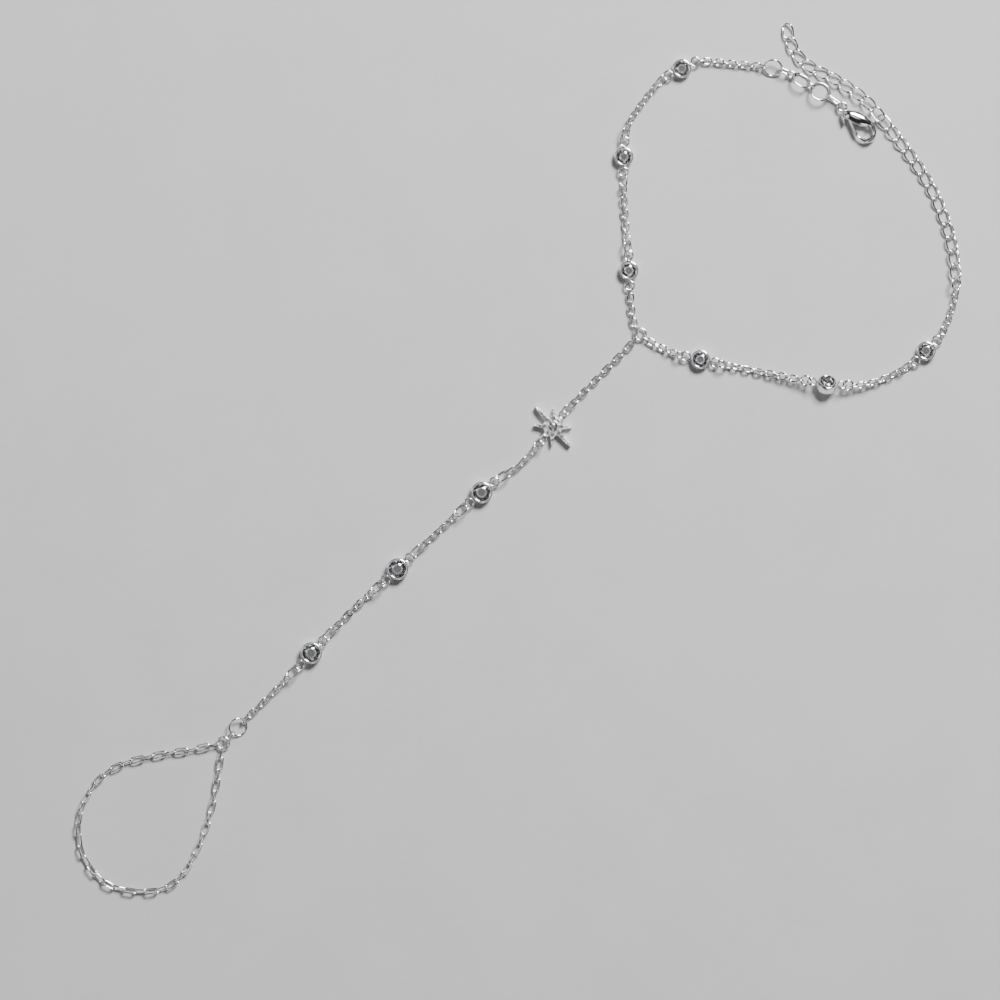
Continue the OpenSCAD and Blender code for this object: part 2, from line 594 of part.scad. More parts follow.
// A small eight-sided cut stone with its girdle at z = 0
melee_depth = 0.4;
module melee(d) {
  r = d / 2;
  g = 0.03 * d;
  points = [
    for (i = [0:7]) [0.6 * r * cos(45 * i), 0.6 * r * sin(45 * i), 0.16 * d],
    for (i = [0:7]) [r * cos(45 * i + 22.5), r * sin(45 * i + 22.5), g],
    for (i = [0:7]) [r * cos(45 * i + 22.5), r * sin(45 * i + 22.5), -g],
    [0, 0, -melee_depth * d]
  ];
  faces = [
    [for (i = [7:-1:0]) i],
    for (i = [0:7]) [i, (i + 1) % 8, 8 + i],
    for (i = [0:7]) [(i + 1) % 8, 8 + (i + 1) % 8, 8 + i],
    for (i = [0:7]) let (n = (i + 1) % 8) [8 + i, 8 + n, 16 + n, 16 + i],
    for (i = [0:7]) [24, 16 + i, 16 + (i + 1) % 8]
  ];
  polyhedron(points, faces, convexity = 2);
}

// A cup with a conical seat, its foot at z = -ride and its end rings at z = 0
module setting(d, h, ride) {
  r_in = d / 2 + stone_gap;
  r_out = r_in + setting_wall;
  z_girdle = girdle_z(d, h);
  depth = z_girdle - culet_lift;
  seat_r = 0.66 * d / 2;
  fit_z = 2 * stone_gap;
  e = setting_edge;
  color(steel) {
    translate([0, 0, -ride]) rotate_extrude()
      polygon([[seat_r, 0], [r_out - e, 0], [r_out, e], [r_out, h - e], [r_out - e, h], [r_in, h],
        [r_in, z_girdle - fit_z], [seat_r, z_girdle - fit_z - depth * (1 - 2 * seat_r / d)]]);
    for (side = [0, 180]) rotate(side) {
      translate([reach(r_out), 0, 0]) ring(end_ring_d, end_ring_wire);
      translate([r_out - setting_wall / 2, 0, 0]) rotate([0, 90, 0])
        cylinder(d = end_ring_wire, h = setting_wall / 2 + end_ring_wire * 0.6);
    }
  }
}
module set_stone(d, h, ride) {
  z_girdle = girdle_z(d, h);
  color(gem) translate([0, 0, z_girdle - ride]) brilliant(d, z_girdle - culet_lift);
}
module wrist_bezel(i) {
  in_place() on_item(str("wrist_bezel_", i), WRIST_ITEMS, WRIST_JOINTS)
    setting(wrist_stone_d, wrist_setting_h, wrist_ride);
}
module wrist_stone(i) {
  in_place() on_item(str("wrist_bezel_", i), WRIST_ITEMS, WRIST_JOINTS)
    set_stone(wrist_stone_d, wrist_setting_h, wrist_ride);
}
module hand_bezel(i) {
  in_place() on_item(str("hand_bezel_", i), HAND_ITEMS, HAND_JOINTS)
    setting(hand_stone_d, hand_setting_h, hand_ride);
}
module hand_stone(i) {
  in_place() on_item(str("hand_bezel_", i), HAND_ITEMS, HAND_JOINTS)
    set_stone(hand_stone_d, hand_setting_h, hand_ride);
}

module wrist_strand(name) {
  in_place() color(steel) strand(name, WRIST_ITEMS, WRIST_JOINTS);
}
module hand_strand(name) {
  in_place() color(steel) strand(name, HAND_ITEMS, HAND_JOINTS);
}
module yoke_ring() {
  in_place() color(steel) translate([0, 0, cable_ride]) ring(yoke_d, jump_wire);
}
module finger_rings() {
  hand_strand("finger_rings");
  in_place() color(steel) translate([gather_at.x, gather_at.y, gather_z]) ring(gather_d, jump_wire);
}
module finger_chain() {
  in_place() color(steel) strand("finger_chain", FINGER_ITEMS, FINGER_JOINTS);
}

// Star: arms as angle from the strand and length, and the small stones as arm, place and size
STAR_ARMS = [
  for (a = [90, -90]) [a + star_turn, star_long],
  for (a = [45, 135, -45, -135]) [a + star_turn, star_short]
];
plate_top = star_t - hand_ride;
star_girdle = plate_top + collar_h - crown_share * star_stone_d + table_proud;
star_stone_depth = 0.42 * star_stone_d;
pocket_gap = 0.06;
pave_gap = 0.1;
collar_r = star_stone_d / 2 + 0.3;
function pave_at(n) = collar_r + pave_d / 2 + pocket_gap + n * (pave_d * 0.9 + pave_gap);
PAVE = [
  for (a = [90, -90], n = [0:3]) [a + star_turn, pave_at(n), pave_d * (1 - 0.18 * n)],
  for (a = [45, 135, -45, -135], n = [0:1]) [a + star_turn, pave_at(n), pave_d * (1 - 0.4 * n)],
  for (a = [0, 180]) [a, pave_at(0) - 0.15 * pave_d, 0.7 * pave_d]
];
// Outline of one arm along X, with a rounded tip
function arm_outline(l) =
  let (r = arm_tip / 2)
  [[0, -arm_root / 2], for (a = [-80:20:80]) [l - r + r * cos(a), r * sin(a)], [0, arm_root / 2]];
module star_setting() {
  in_place() on_item("star_setting", HAND_ITEMS, HAND_JOINTS) color(steel) {
    difference() {
      translate([0, 0, -hand_ride]) {
        cylinder(r = hub_r, h = star_t);
        for (a = STAR_ARMS) rotate(a[0]) linear_extrude(star_t) polygon(arm_outline(a[1]));
        for (a = [0, 180]) rotate(a) translate([0, -neck_w / 2, 0])
          cube([star_loop_x - (star_loop_d - star_loop_wire) / 2 + 0.05, neck_w, star_t]);
        cylinder(r = collar_r, h = star_t + collar_h);
      }
      translate([0, 0, star_girdle - star_stone_depth - pocket_gap])
        cylinder(d = star_stone_d + 2 * stone_gap, h = star_t);
      for (p = PAVE) rotate(p[0]) translate([p[1], 0, plate_top - melee_depth * p[2] - pocket_gap])
        cylinder(d = p[2] + 2 * stone_gap, h = star_t);
    }
    for (a = [0, 180]) rotate(a) translate([star_loop_x, 0, 0]) ring(star_loop_d, star_loop_wire);
  }
}
module star_stone() {
  in_place() on_item("star_setting", HAND_ITEMS, HAND_JOINTS)
    color(gem) translate([0, 0, star_girdle]) brilliant(star_stone_d, star_stone_depth);
}
module star_pave() {
  in_place() on_item("star_setting", HAND_ITEMS, HAND_JOINTS)
    for (p = PAVE) color(gem) rotate(p[0]) translate([p[1], 0, plate_top]) melee(p[2]);
}

module in_clasp() {
  in_place() translate([clasp_at.x, clasp_at.y, clasp_ride]) rotate(clasp_turn) children();
}
// Skin of the clasp's body: an oval ring of points at each section
function clasp_skin() =
  let (s = CLASP_SECTIONS, n = len(s))
  let (m = [for (q = s) [q[0] * clasp_l, q[1] * clasp_w]])
  [for (i = [0:n - 1])
    let (t = unit(m[min(i + 1, n - 1)] - m[max(i - 1, 0)]), out = [t.y, -t.x])
    for (j = [0:clasp_sides - 1])
      let (a = 360 / clasp_sides * j, w = s[i][2] * clasp_w * cos(a))
      [m[i].x + w * out.x, m[i].y + w * out.y, s[i][3] * clasp_t * sin(a)]];
module clasp_shell() {
  n = len(CLASP_SECTIONS);
  m = clasp_sides;
  polyhedron(clasp_skin(), [
    [for (j = [m - 1:-1:0]) j],
    for (i = [0:n - 2], j = [0:m - 1])
      [i * m + j, i * m + (j + 1) % m, (i + 1) * m + (j + 1) % m, (i + 1) * m + j],
    [for (j = [0:m - 1]) (n - 1) * m + j]
  ], convexity = 6);
}
module clasp_body() {
  in_clasp() color(steel) {
    ring(clasp_loop_d, clasp_loop_wire);
    difference() {
      union() {
        clasp_shell();
        translate([pivot.x, pivot.y, -knuckle_h / 2]) cylinder(r = knuckle_r, h = knuckle_h);
      }
      slot_h = lever_t + 2 * slot_gap;
      translate([pivot.x, pivot.y, -slot_h / 2]) {
        cylinder(r = lever_hub_r + slot_side, h = slot_h);
        linear_extrude(slot_h)
          polygon([[0, 0], for (a = [slot_from:15:slot_to]) slot_reach * [cos(a), sin(a)]]);
        rotate(heading(lever_end - pivot) + lever_swing)
          translate([0, -lever_w / 2 - slot_side, 0])
            cube([slot_reach, lever_w + 2 * slot_side, slot_h]);
      }
      translate([pivot.x, pivot.y, -clasp_t]) cylinder(d = pin_d + 2 * pin_seat, h = 2 * clasp_t);
    }
  }
}
module clasp_pin() {
  in_clasp() color(steel) translate([pivot.x, pivot.y, -knuckle_h / 2])
    cylinder(d = pin_d, h = knuckle_h);
}
// A flat bar with round ends between two points, through the lever's thickness
module bar(p, q, w) {
  translate([p.x, p.y, -lever_t / 2]) rotate(heading(q - p)) {
    translate([0, -w / 2, 0]) cube([norm(q - p), w, lever_t]);
    translate([norm(q - p), 0, 0]) cylinder(d = w, h = lever_t);
  }
}
module clasp_lever() {
  in_clasp() color(steel) difference() {
    union() {
      translate([pivot.x, pivot.y, -lever_t / 2]) cylinder(r = lever_hub_r, h = lever_t);
      bar(pivot, lever_end, lever_w);
      bar(pivot, (tab_from + tab_to) / 2, tab_neck_w);
      bar(tab_from, tab_to, tab_w);
      bar(tab_to, tab_from, tab_w);
    }
    translate([pivot.x, pivot.y, -lever_t]) cylinder(d = pin_d + 2 * pin_gap, h = 2 * lever_t);
  }
}
module extender_chain() {
  wrist_strand("extender_chain");
  in_place() color(steel) strand("extender_chain", TAIL_ITEMS, TAIL_JOINTS, -curb_twist);
  in_clasp() color(steel) translate([arm_x, hook_y - (curb_l - curb_wire) / 2, 0]) rotate([90, 0, 90])
    curb_link(0, 0);
}

for (i = [1:6]) wrist_bezel(i);
for (i = [1:6]) wrist_stone(i);
for (i = [1:3]) hand_bezel(i);
for (i = [1:3]) hand_stone(i);
for (i = [1:6]) wrist_strand(str("wrist_rings_", i));
for (i = [1:3]) hand_strand(str("hand_rings_", i));
for (i = [1:8]) wrist_strand(str("wrist_chain_", i));
for (i = [1:5]) hand_strand(str("hand_chain_", i));
yoke_ring();
star_setting();
star_stone();
star_pave();
hand_strand("star_rings");  // star_rings
finger_rings();
finger_chain();
wrist_strand("clasp_tail");  // clasp_tail
clasp_body();
clasp_lever();
clasp_pin();
extender_chain();
wrist_strand("extender_ring");  // extender_ring
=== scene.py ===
"""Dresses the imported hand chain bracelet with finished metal, cut stones and soft studio light.

Links, rings and settings are modelled once and laid on the frame's own solids. The star and the
clasp repeat the sizes of the part's source. Lengths are in millimetres unless a comment says
otherwise, and MM turns them into Blender's metres.
"""
from __future__ import annotations

import logging
import math
from collections.abc import Callable
from dataclasses import dataclass, field
from enum import Enum

import bpy
import numpy as np
from mathutils import Matrix, Vector

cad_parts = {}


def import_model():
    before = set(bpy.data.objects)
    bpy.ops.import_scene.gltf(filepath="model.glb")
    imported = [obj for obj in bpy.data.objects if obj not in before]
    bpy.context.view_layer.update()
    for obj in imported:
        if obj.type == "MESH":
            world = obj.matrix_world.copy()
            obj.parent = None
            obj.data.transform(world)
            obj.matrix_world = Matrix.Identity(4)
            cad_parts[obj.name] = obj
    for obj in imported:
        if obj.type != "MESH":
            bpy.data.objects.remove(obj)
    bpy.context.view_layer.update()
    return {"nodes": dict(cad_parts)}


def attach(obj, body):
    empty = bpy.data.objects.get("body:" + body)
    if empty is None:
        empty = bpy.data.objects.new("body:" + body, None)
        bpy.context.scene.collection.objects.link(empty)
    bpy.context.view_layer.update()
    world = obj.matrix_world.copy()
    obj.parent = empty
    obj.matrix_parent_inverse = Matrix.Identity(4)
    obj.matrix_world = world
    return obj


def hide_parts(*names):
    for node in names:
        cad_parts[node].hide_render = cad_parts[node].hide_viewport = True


LOG = logging.getLogger("hand_chain")
MM = 0.001
# In metres: points nearer than this are one, and a length under it is none
TINY = 1e-6
# In metres: how far off a point may lie that is looked for by its place
NEAR = 1e-5
# A face whose normal has at least this share along an axis looks that way
FLAT = 0.9
SUBDIVISIONS = 2
# Digits after the point, in metres, by which loose solids are put in order
ORDER_DIGITS = 5

Piece = bpy.types.Object
Nodes = dict[str, Piece]
Material = bpy.types.Material
Tree = bpy.types.NodeTree
Socket = bpy.types.NodeSocket
Pair = tuple[float, float]
Triple = tuple[float, float, float]


class Body(Enum):
    """Bodies of the frame."""

    BRACELET = "bracelet"
    LEVER = "lever"


class Joint(Enum):
    """How the two ends of a bent wire meet."""

    SOLDERED = "soldered"
    BUTTED = "butted"


class Element(Enum):
    """What is picked on a mesh, with the name of the mesh's list of them."""

    VERT = "vertices"
    EDGE = "edges"
    FACE = "polygons"


class Fuse(Enum):
    """What a boolean does with its second piece."""

    ADD = "UNION"
    CUT = "DIFFERENCE"


# Selecting and editing


def deselect() -> None:
    """Leaves edit mode and deselects everything."""
    if bpy.context.object and bpy.context.object.mode != "OBJECT":
        bpy.ops.object.mode_set(mode="OBJECT")
    bpy.ops.object.select_all(action="DESELECT")


def only(obj: Piece) -> None:
    """Selects one object alone and makes it active.

    Args:
        obj: The object.
    """
    deselect()
    obj.select_set(True)
    bpy.context.view_layer.objects.active = obj


def edit(obj: Piece, everything: bool = False) -> None:
    """Opens one object in edit mode.

    Args:
        obj: The object.
        everything: Whether all of it is selected, and otherwise nothing.
    """
    only(obj)
    bpy.ops.object.mode_set(mode="EDIT")
    bpy.ops.mesh.select_mode(type="VERT")
    bpy.ops.mesh.select_all(action="SELECT" if everything else "DESELECT")


def done() -> None:
    """Leaves edit mode."""
    bpy.ops.object.mode_set(mode="OBJECT")


def pick(obj: Piece, test: Callable[..., bool], element: Element = Element.VERT) -> None:
    """Selects the parts of a mesh that pass a test, in edit mode.

    Args:
        obj: The object in edit mode.
        test: Takes a vertex's place, the places of an edge's two ends, or a face.
        element: What is picked.
    """
    bpy.ops.mesh.select_mode(type=element.name)
    bpy.ops.mesh.select_all(action="DESELECT")
    done()
    points = obj.data.vertices
    for part in getattr(obj.data, element.value):
        if element is Element.VERT:
            part.select = test(part.co)
        elif element is Element.EDGE:
            part.select = test(*(points[i].co for i in part.vertices))
        else:
            part.select = test(part)
    bpy.ops.object.mode_set(mode="EDIT")


def extrude(x: float = 0, z: float = 0) -> None:
    """Extrudes what is picked, by a way in metres."""
    bpy.ops.mesh.extrude_region_move(TRANSFORM_OT_translate={"value": (x, 0, z)})


def bevel(width: float, segments: int = 5) -> None:
    """Rounds what is picked, by a width in millimetres."""
    bpy.ops.mesh.bevel(offset=width * MM, segments=segments)


def named(obj: Piece, name: str) -> Piece:
    """Gives an object and its mesh a name, and returns the object."""
    obj.name = obj.data.name = name
    return obj


def settle(obj: Piece) -> Piece:
    """Puts an object's place into its mesh.

    Args:
        obj: The object.

    Returns:
        The same object, at the origin, unturned and unscaled.
    """
    only(obj)
    bpy.ops.object.transform_apply(location=True, rotation=True, scale=True)
    return obj


def added(operator: Callable[..., set], **values: object) -> Piece:
    """Adds one primitive and puts its place into its mesh.

    Args:
        operator: The operator that adds it.
        **values: The operator's options, in metres.

    Returns:
        The new object, selected alone.
    """
    deselect()
    operator(**values)
    return settle(bpy.context.object)


def finish_modifier(obj: Piece, kind: str, **values: object) -> None:
    """Adds a modifier and applies it.

    Args:
        obj: The object.
        kind: The modifier's type.
        **values: The modifier's options.
    """
    only(obj)
    modifier = obj.modifiers.new(kind.title(), kind)
    for key, value in values.items():
        setattr(modifier, key, value)
    bpy.ops.object.modifier_apply(modifier=modifier.name)


def subdivide(obj: Piece) -> None:
    """Rounds a mesh with an applied Subdivision Surface."""
    finish_modifier(obj, "SUBSURF", levels=SUBDIVISIONS, render_levels=SUBDIVISIONS)


def face_out(obj: Piece) -> None:
    """Merges the doubles of a closed mesh and turns all its faces outwards.

    Args:
        obj: The object.
    """
    edit(obj, everything=True)
    bpy.ops.mesh.remove_doubles(threshold=TINY)
    bpy.ops.mesh.normals_make_consistent(inside=False)
    done()


def smooth(obj: Piece, degrees: float) -> None:
    """Shades smooth, apart from edges sharper than an angle."""
    only(obj)
    bpy.ops.object.shade_smooth_by_angle(angle=math.radians(degrees))


def join(parts: list[Piece], name: str) -> Piece:
    """Joins objects into one.

    Args:
        parts: The objects.
        name: Name of the whole.

    Returns:
        The whole.
    """
    deselect()
    for part in parts:
        part.select_set(True)
    bpy.context.view_layer.objects.active = parts[0]
    if len(parts) > 1:
        bpy.ops.object.join()
    return named(settle(parts[0]), name)


def remove(*objects: Piece) -> None:
    """Deletes objects and their meshes.

    Args:
        *objects: The objects.
    """
    for obj in objects:
        mesh = obj.data
        bpy.data.objects.remove(obj)
        bpy.data.meshes.remove(mesh)


def copy_of(obj: Piece, matrix: Matrix) -> Piece:
    """Copies an object with its own mesh.

    Args:
        obj: The object.
        matrix: Where the copy's mesh is moved.

    Returns:
        The copy.
    """
    twin = bpy.data.objects.new(obj.name, obj.data.copy())
    twin.data.transform(matrix)
    bpy.context.scene.collection.objects.link(twin)
    return twin


# Shapes that more than one sub-assembly starts from


def polar(angle: float, distance: float, height: float = 0.0, turn: float = 0.0,
          side: float = 0.0) -> Vector:
    """Finds a place at an angle and distance.

    Args:
        angle: The angle in degrees.
        distance: The distance from the middle.
        height: Height of the place.
        turn: Angle from there to a second way, if any.
        side: How far the second way goes.

    Returns:
        The place.
    """
    a, b = math.radians(angle), math.radians(angle + turn)
    return Vector((distance * math.cos(a) + side * math.cos(b),
                   distance * math.sin(a) + side * math.sin(b), height))


def bead(middle: Vector, radius: float, flat: float = 1.0) -> Piece:
    """Models one bead of metal, whose height is a share of its width."""
    return added(bpy.ops.mesh.primitive_uv_sphere_add, segments=14, ring_count=8,
                 radius=radius * MM, location=middle * MM, scale=(1, 1, flat))


def disc(radius: float, low: float, high: float, edge: float = 0.0, at: Pair = (0, 0),
         sides: int = 48) -> Piece:
    """Models an upright cylinder.

    Args:
        radius: Its radius.
        low: Height of its foot.
        high: Height of its top.
        edge: Width of the rounding of its upper edge, or none.
        at: Its middle as seen from above.
        sides: How many sides it has.

    Returns:
        The cylinder.
    """
    obj = added(bpy.ops.mesh.primitive_cylinder_add, vertices=sides, radius=radius * MM,
                depth=(high - low) * MM,
                location=(at[0] * MM, at[1] * MM, (low + high) / 2 * MM))
    if edge > 0:
        edit(obj)
        pick(obj, lambda a, b: min(a.z, b.z) > high * MM - TINY, Element.EDGE)
        bevel(edge)
        done()
    return obj


def block(size: Triple, at: Triple, angle: float = 0.0) -> Piece:
    """Models a plain block to shape further, turned by an angle in radians about Z."""
    return added(bpy.ops.mesh.primitive_cube_add, size=1, rotation=(0, 0, angle),
                 location=[v * MM for v in at], scale=[v * MM for v in size])


def closed_ring(outer: float, wire: float, at: Triple, steps: Pair) -> Piece:
    """Models a closed round ring that lies flat.

    Args:
        outer: Its outer diameter.
        wire: Thickness of its wire.
        at: Its middle.
        steps: How many steps it has round the ring and round the wire.

    Returns:
        The ring.
    """
    return added(bpy.ops.mesh.primitive_torus_add, location=[v * MM for v in at],
                 major_segments=steps[0], minor_segments=steps[1],
                 major_radius=(outer - wire) / 2 * MM, minor_radius=wire / 2 * MM)


def fuse(whole: Piece, how: Fuse, parts: list[Piece]) -> Piece:
    """Joins pieces to one solid, or cuts them out of it, and deletes them.

    Args:
        whole: The piece that stays.
        how: Whether the pieces are added or cut away.
        parts: The pieces.

    Returns:
        The piece that stays.
    """
    for part in parts:
        finish_modifier(whole, "BOOLEAN", operation=how.value, solver="EXACT", object=part)
    remove(*parts)
    return whole


# Reading the frame


@dataclass
class Solid:
    """One loose solid of a CAD node, with its own axes and sizes in metres."""

    mesh: Piece
    middle: Vector
    axes: Matrix
    size: Vector

    @classmethod
    def measured(cls, obj: Piece) -> "Solid":
        """Finds a solid's main axes, longest first, with the last one looking up.

        Args:
            obj: An object that holds one closed solid.

        Returns:
            The solid with its middle, axes and size along them.
        """
        mesh = obj.data
        count = len(mesh.polygons)
        centres = np.empty(count * 3)
        areas = np.empty(count)
        mesh.polygons.foreach_get("center", centres)
        mesh.polygons.foreach_get("area", areas)
        centres = centres.reshape(-1, 3)
        mean = (centres * areas[:, None]).sum(0) / areas.sum()
        spread = centres - mean
        _, vectors = np.linalg.eigh((spread * areas[:, None]).T @ spread)
        x, z = vectors[:, 2], vectors[:, 0]
        if z[2] < 0:
            z = -z
        y = np.cross(z, x)
        axes = np.stack([x, y, z], 1)
        points = np.empty(len(mesh.vertices) * 3)
        mesh.vertices.foreach_get("co", points)
        local = points.reshape(-1, 3) @ axes
        low, high = local.min(0), local.max(0)
        middle = axes @ ((low + high) / 2)
        return cls(obj, Vector(middle), Matrix(axes.tolist()), Vector(high - low))

    def place(self, x_hint: Vector | None = None) -> Matrix:
        """Says where the solid lies.

        Args:
            x_hint: Direction for the first axis of a round ring, whose own is left open.

        Returns:
            The matrix from the solid's own axes to the frame.
        """
        axes = self.axes
        if x_hint is not None:
            z = axes.col[2]
            x = (x_hint - z * x_hint.dot(z)).normalized()
            axes = Matrix((x, z.cross(x), z)).transposed()
        return Matrix.Translation(self.middle) @ axes.to_4x4()


def loose_solids(node: Piece) -> list[Solid]:
    """Merged copies of the loose solids of a CAD node.

    Args:
        node: The node's object, which is left alone.

    Returns:
        Its solids in order of their place.
    """
    twin = copy_of(node, Matrix.Identity(4))
    twin.data.materials.clear()
    edit(twin, everything=True)
    bpy.ops.mesh.remove_doubles(threshold=TINY)
    bpy.ops.mesh.separate(type="LOOSE")
    done()
    found = [Solid.measured(obj) for obj in bpy.context.selected_objects]
    return sorted(found, key=lambda s: [round(v, ORDER_DIGITS) for v in s.middle.xy])


# Finishes


def feed(tree: Tree, socket: Socket, value: float | Socket) -> None:
    """Gives a socket a number, or joins it to another node's output.

    Args:
        tree: The node tree.
        socket: The socket to feed.
        value: The number or the output.
    """
    if isinstance(value, (int, float)):
        socket.default_value = value
    else:
        tree.links.new(value, socket)


def math_node(tree: Tree, operation: str, *values: float | Socket) -> Socket:
    """Adds a math node.

    Args:
        tree: The node tree.
        operation: What it works out.
        *values: Its inputs.

    Returns:
        Its output.
    """
    node = tree.nodes.new("ShaderNodeMath")
    node.operation = operation
    for socket, value in zip(node.inputs, values):
        feed(tree, socket, value)
    return node.outputs[0]


def noise(tree: Tree, vector: Socket, scale: float | Socket, detail: float) -> Socket:
    """Adds a noise texture.

    Args:
        tree: The node tree.
        vector: Where it is read.
        scale: Its scale, per metre.
        detail: Its detail.

    Returns:
        Its value.
    """
    node = tree.nodes.new("ShaderNodeTexNoise")
    feed(tree, node.inputs["Vector"], vector)
    feed(tree, node.inputs["Scale"], scale)
    feed(tree, node.inputs["Detail"], detail)
    return node.outputs["Fac"]


def ramped(tree: Tree, value: Socket, stops: list[tuple[float, Triple]]) -> Socket:
    """Turns a value into a colour.

    Args:
        tree: The node tree.
        value: The value between 0 and 1.
        stops: Pairs of a value and its colour, lowest first.

    Returns:
        The colour.
    """
    ramp = tree.nodes.new("ShaderNodeValToRGB")
    elements = ramp.color_ramp.elements
    for position, _ in stops[1:-1]:
        elements.new(position)
    for element, (position, colour) in zip(elements, stops):
        element.position = position
        element.color = (*colour, 1.0)
    tree.links.new(value, ramp.inputs["Fac"])
    return ramp.outputs["Color"]


@dataclass(frozen=True)
class PolishingMarks:
    """The smears, grain and hairlines that polishing leaves, as one shared node group."""

    name: str = "Polishing marks"
    inputs: tuple[tuple[str, float], ...] = (
        ("Roughness", 0.1), ("Spread", 0.08), ("Scale", 900.0), ("Scratches", 0.3))
    outputs: tuple[str, ...] = ("Roughness", "Tone", "Height")
    smear_detail: float = 3.0
    smear_middle: float = 0.4
    smear_tone: float = 0.6
    # The grain is this many times finer than the smears
    grain_step: float = 9.0
    grain_detail: float = 4.0
    grain_rough: float = 0.06
    grain_tone: float = 0.4
    grain_height: float = 0.3
    # Hairlines are the narrow bands where a stretched noise crosses its middle value
    hair_turn: Triple = (0.4, 0.9, 0.6)
    hair_stretch: Triple = (1.0, 7.0, 3.0)
    hair_detail: float = 2.0
    hair_width: float = 0.0015
    hair_rough: float = 0.2
    middle: float = 0.5
    smoothest: float = 0.02

    def group(self) -> Tree:
        """Returns the group, which is built on its first use."""
        return bpy.data.node_groups.get(self.name) or self.build()

    def build(self) -> Tree:
        """Builds the group.

        Returns:
            A group with a finish's own values in, and its roughness, tone and height out.
        """
        tree = bpy.data.node_groups.new(self.name, "ShaderNodeTree")
        kind = "NodeSocketFloat"
        for name, value in self.inputs:
            socket = tree.interface.new_socket(name=name, in_out="INPUT", socket_type=kind)
            socket.default_value = value
        for name in self.outputs:
            tree.interface.new_socket(name=name, in_out="OUTPUT", socket_type=kind)
        given = tree.nodes.new("NodeGroupInput").outputs
        made = tree.nodes.new("NodeGroupOutput").inputs
        place = tree.nodes.new("ShaderNodeTexCoord").outputs["Object"]
        smears = noise(tree, place, given["Scale"], self.smear_detail)
        grain_scale = math_node(tree, "MULTIPLY", given["Scale"], self.grain_step)
        grain = noise(tree, place, grain_scale, self.grain_detail)
        stretch = tree.nodes.new("ShaderNodeMapping")
        stretch.inputs["Rotation"].default_value = self.hair_turn
        stretch.inputs["Scale"].default_value = self.hair_stretch
        tree.links.new(place, stretch.inputs["Vector"])
        bands = noise(tree, stretch.outputs["Vector"], given["Scale"], self.hair_detail)
        off = math_node(tree, "ABSOLUTE", math_node(tree, "SUBTRACT", bands, self.middle))
        hair = math_node(tree, "LESS_THAN", off, self.hair_width)
        marks = math_node(tree, "MULTIPLY", hair, given["Scratches"])
        smear = math_node(tree, "SUBTRACT", smears, self.smear_middle)
        fleck = math_node(tree, "SUBTRACT", grain, self.middle)
        rough = given["Roughness"]
        for mark, share in ((smear, given["Spread"]), (fleck, self.grain_rough),
                            (marks, self.hair_rough)):
            rough = math_node(tree, "ADD", rough, math_node(tree, "MULTIPLY", mark, share))
        feed(tree, made["Roughness"], math_node(tree, "MAXIMUM", rough, self.smoothest))
        feed(tree, made["Tone"], math_node(
            tree, "ADD", math_node(tree, "MULTIPLY", smears, self.smear_tone),
            math_node(tree, "MULTIPLY", grain, self.grain_tone)))
        feed(tree, made["Height"], math_node(
            tree, "SUBTRACT", math_node(tree, "MULTIPLY", grain, self.grain_height), marks))
        return tree


MARKS = PolishingMarks()


@dataclass(frozen=True)
class Finish:
    """A plain finish that is made with the shared polishing marks."""

    name: str
    dark: Triple
    light: Triple
    roughness: float
    spread: float
    scale: float
    scratches: float
    bump: float
    # Tones at which the finish is darkest and lightest
    tones: Pair = (0.3, 0.65)
    bump_depth: float = 0.01

    def make(self) -> Material:
        """Makes the finish.

        Returns:
            The material, with the marks joined to its shader.
        """
        material = bpy.data.materials.new(self.name)
        material.use_nodes = True
        tree = material.node_tree
        shader = tree.nodes["Principled BSDF"].inputs
        marks = tree.nodes.new("ShaderNodeGroup")
        marks.node_tree = MARKS.group()
        for name, value in (("Roughness", self.roughness), ("Spread", self.spread),
                            ("Scale", self.scale), ("Scratches", self.scratches)):
            marks.inputs[name].default_value = value
        tree.links.new(marks.outputs["Roughness"], shader["Roughness"])
        stops = list(zip(self.tones, (self.dark, self.light)))
        tree.links.new(ramped(tree, marks.outputs["Tone"], stops), shader["Base Color"])
        if self.bump > 0:
            bump = tree.nodes.new("ShaderNodeBump")
            bump.inputs["Strength"].default_value = self.bump
            bump.inputs["Distance"].default_value = self.bump_depth * MM
            tree.links.new(marks.outputs["Height"], bump.inputs["Height"])
            tree.links.new(bump.outputs["Normal"], shader["Normal"])
        self.tune(shader)
        return material

    def tune(self, shader: bpy.types.NodeInputs) -> None:
        """Sets the shader's own constants, of which a plain finish has none."""


@dataclass(frozen=True)
class Silver(Finish):
    """Polished and plated silver."""

    def tune(self, shader: bpy.types.NodeInputs) -> None:
        """Makes the shader metal."""
        shader["Metallic"].default_value = 1.0


@dataclass(frozen=True)
class CutStone(Finish):
    """A clear cut stone with bright facets."""

    refraction: float = 2.1

    def tune(self, shader: bpy.types.NodeInputs) -> None:
        """Makes the shader clear.

        Args:
            shader: The shader's inputs.
        """
        shader["Metallic"].default_value = 0.0
        shader["IOR"].default_value = self.refraction
        shader["Transmission Weight"].default_value = 1.0


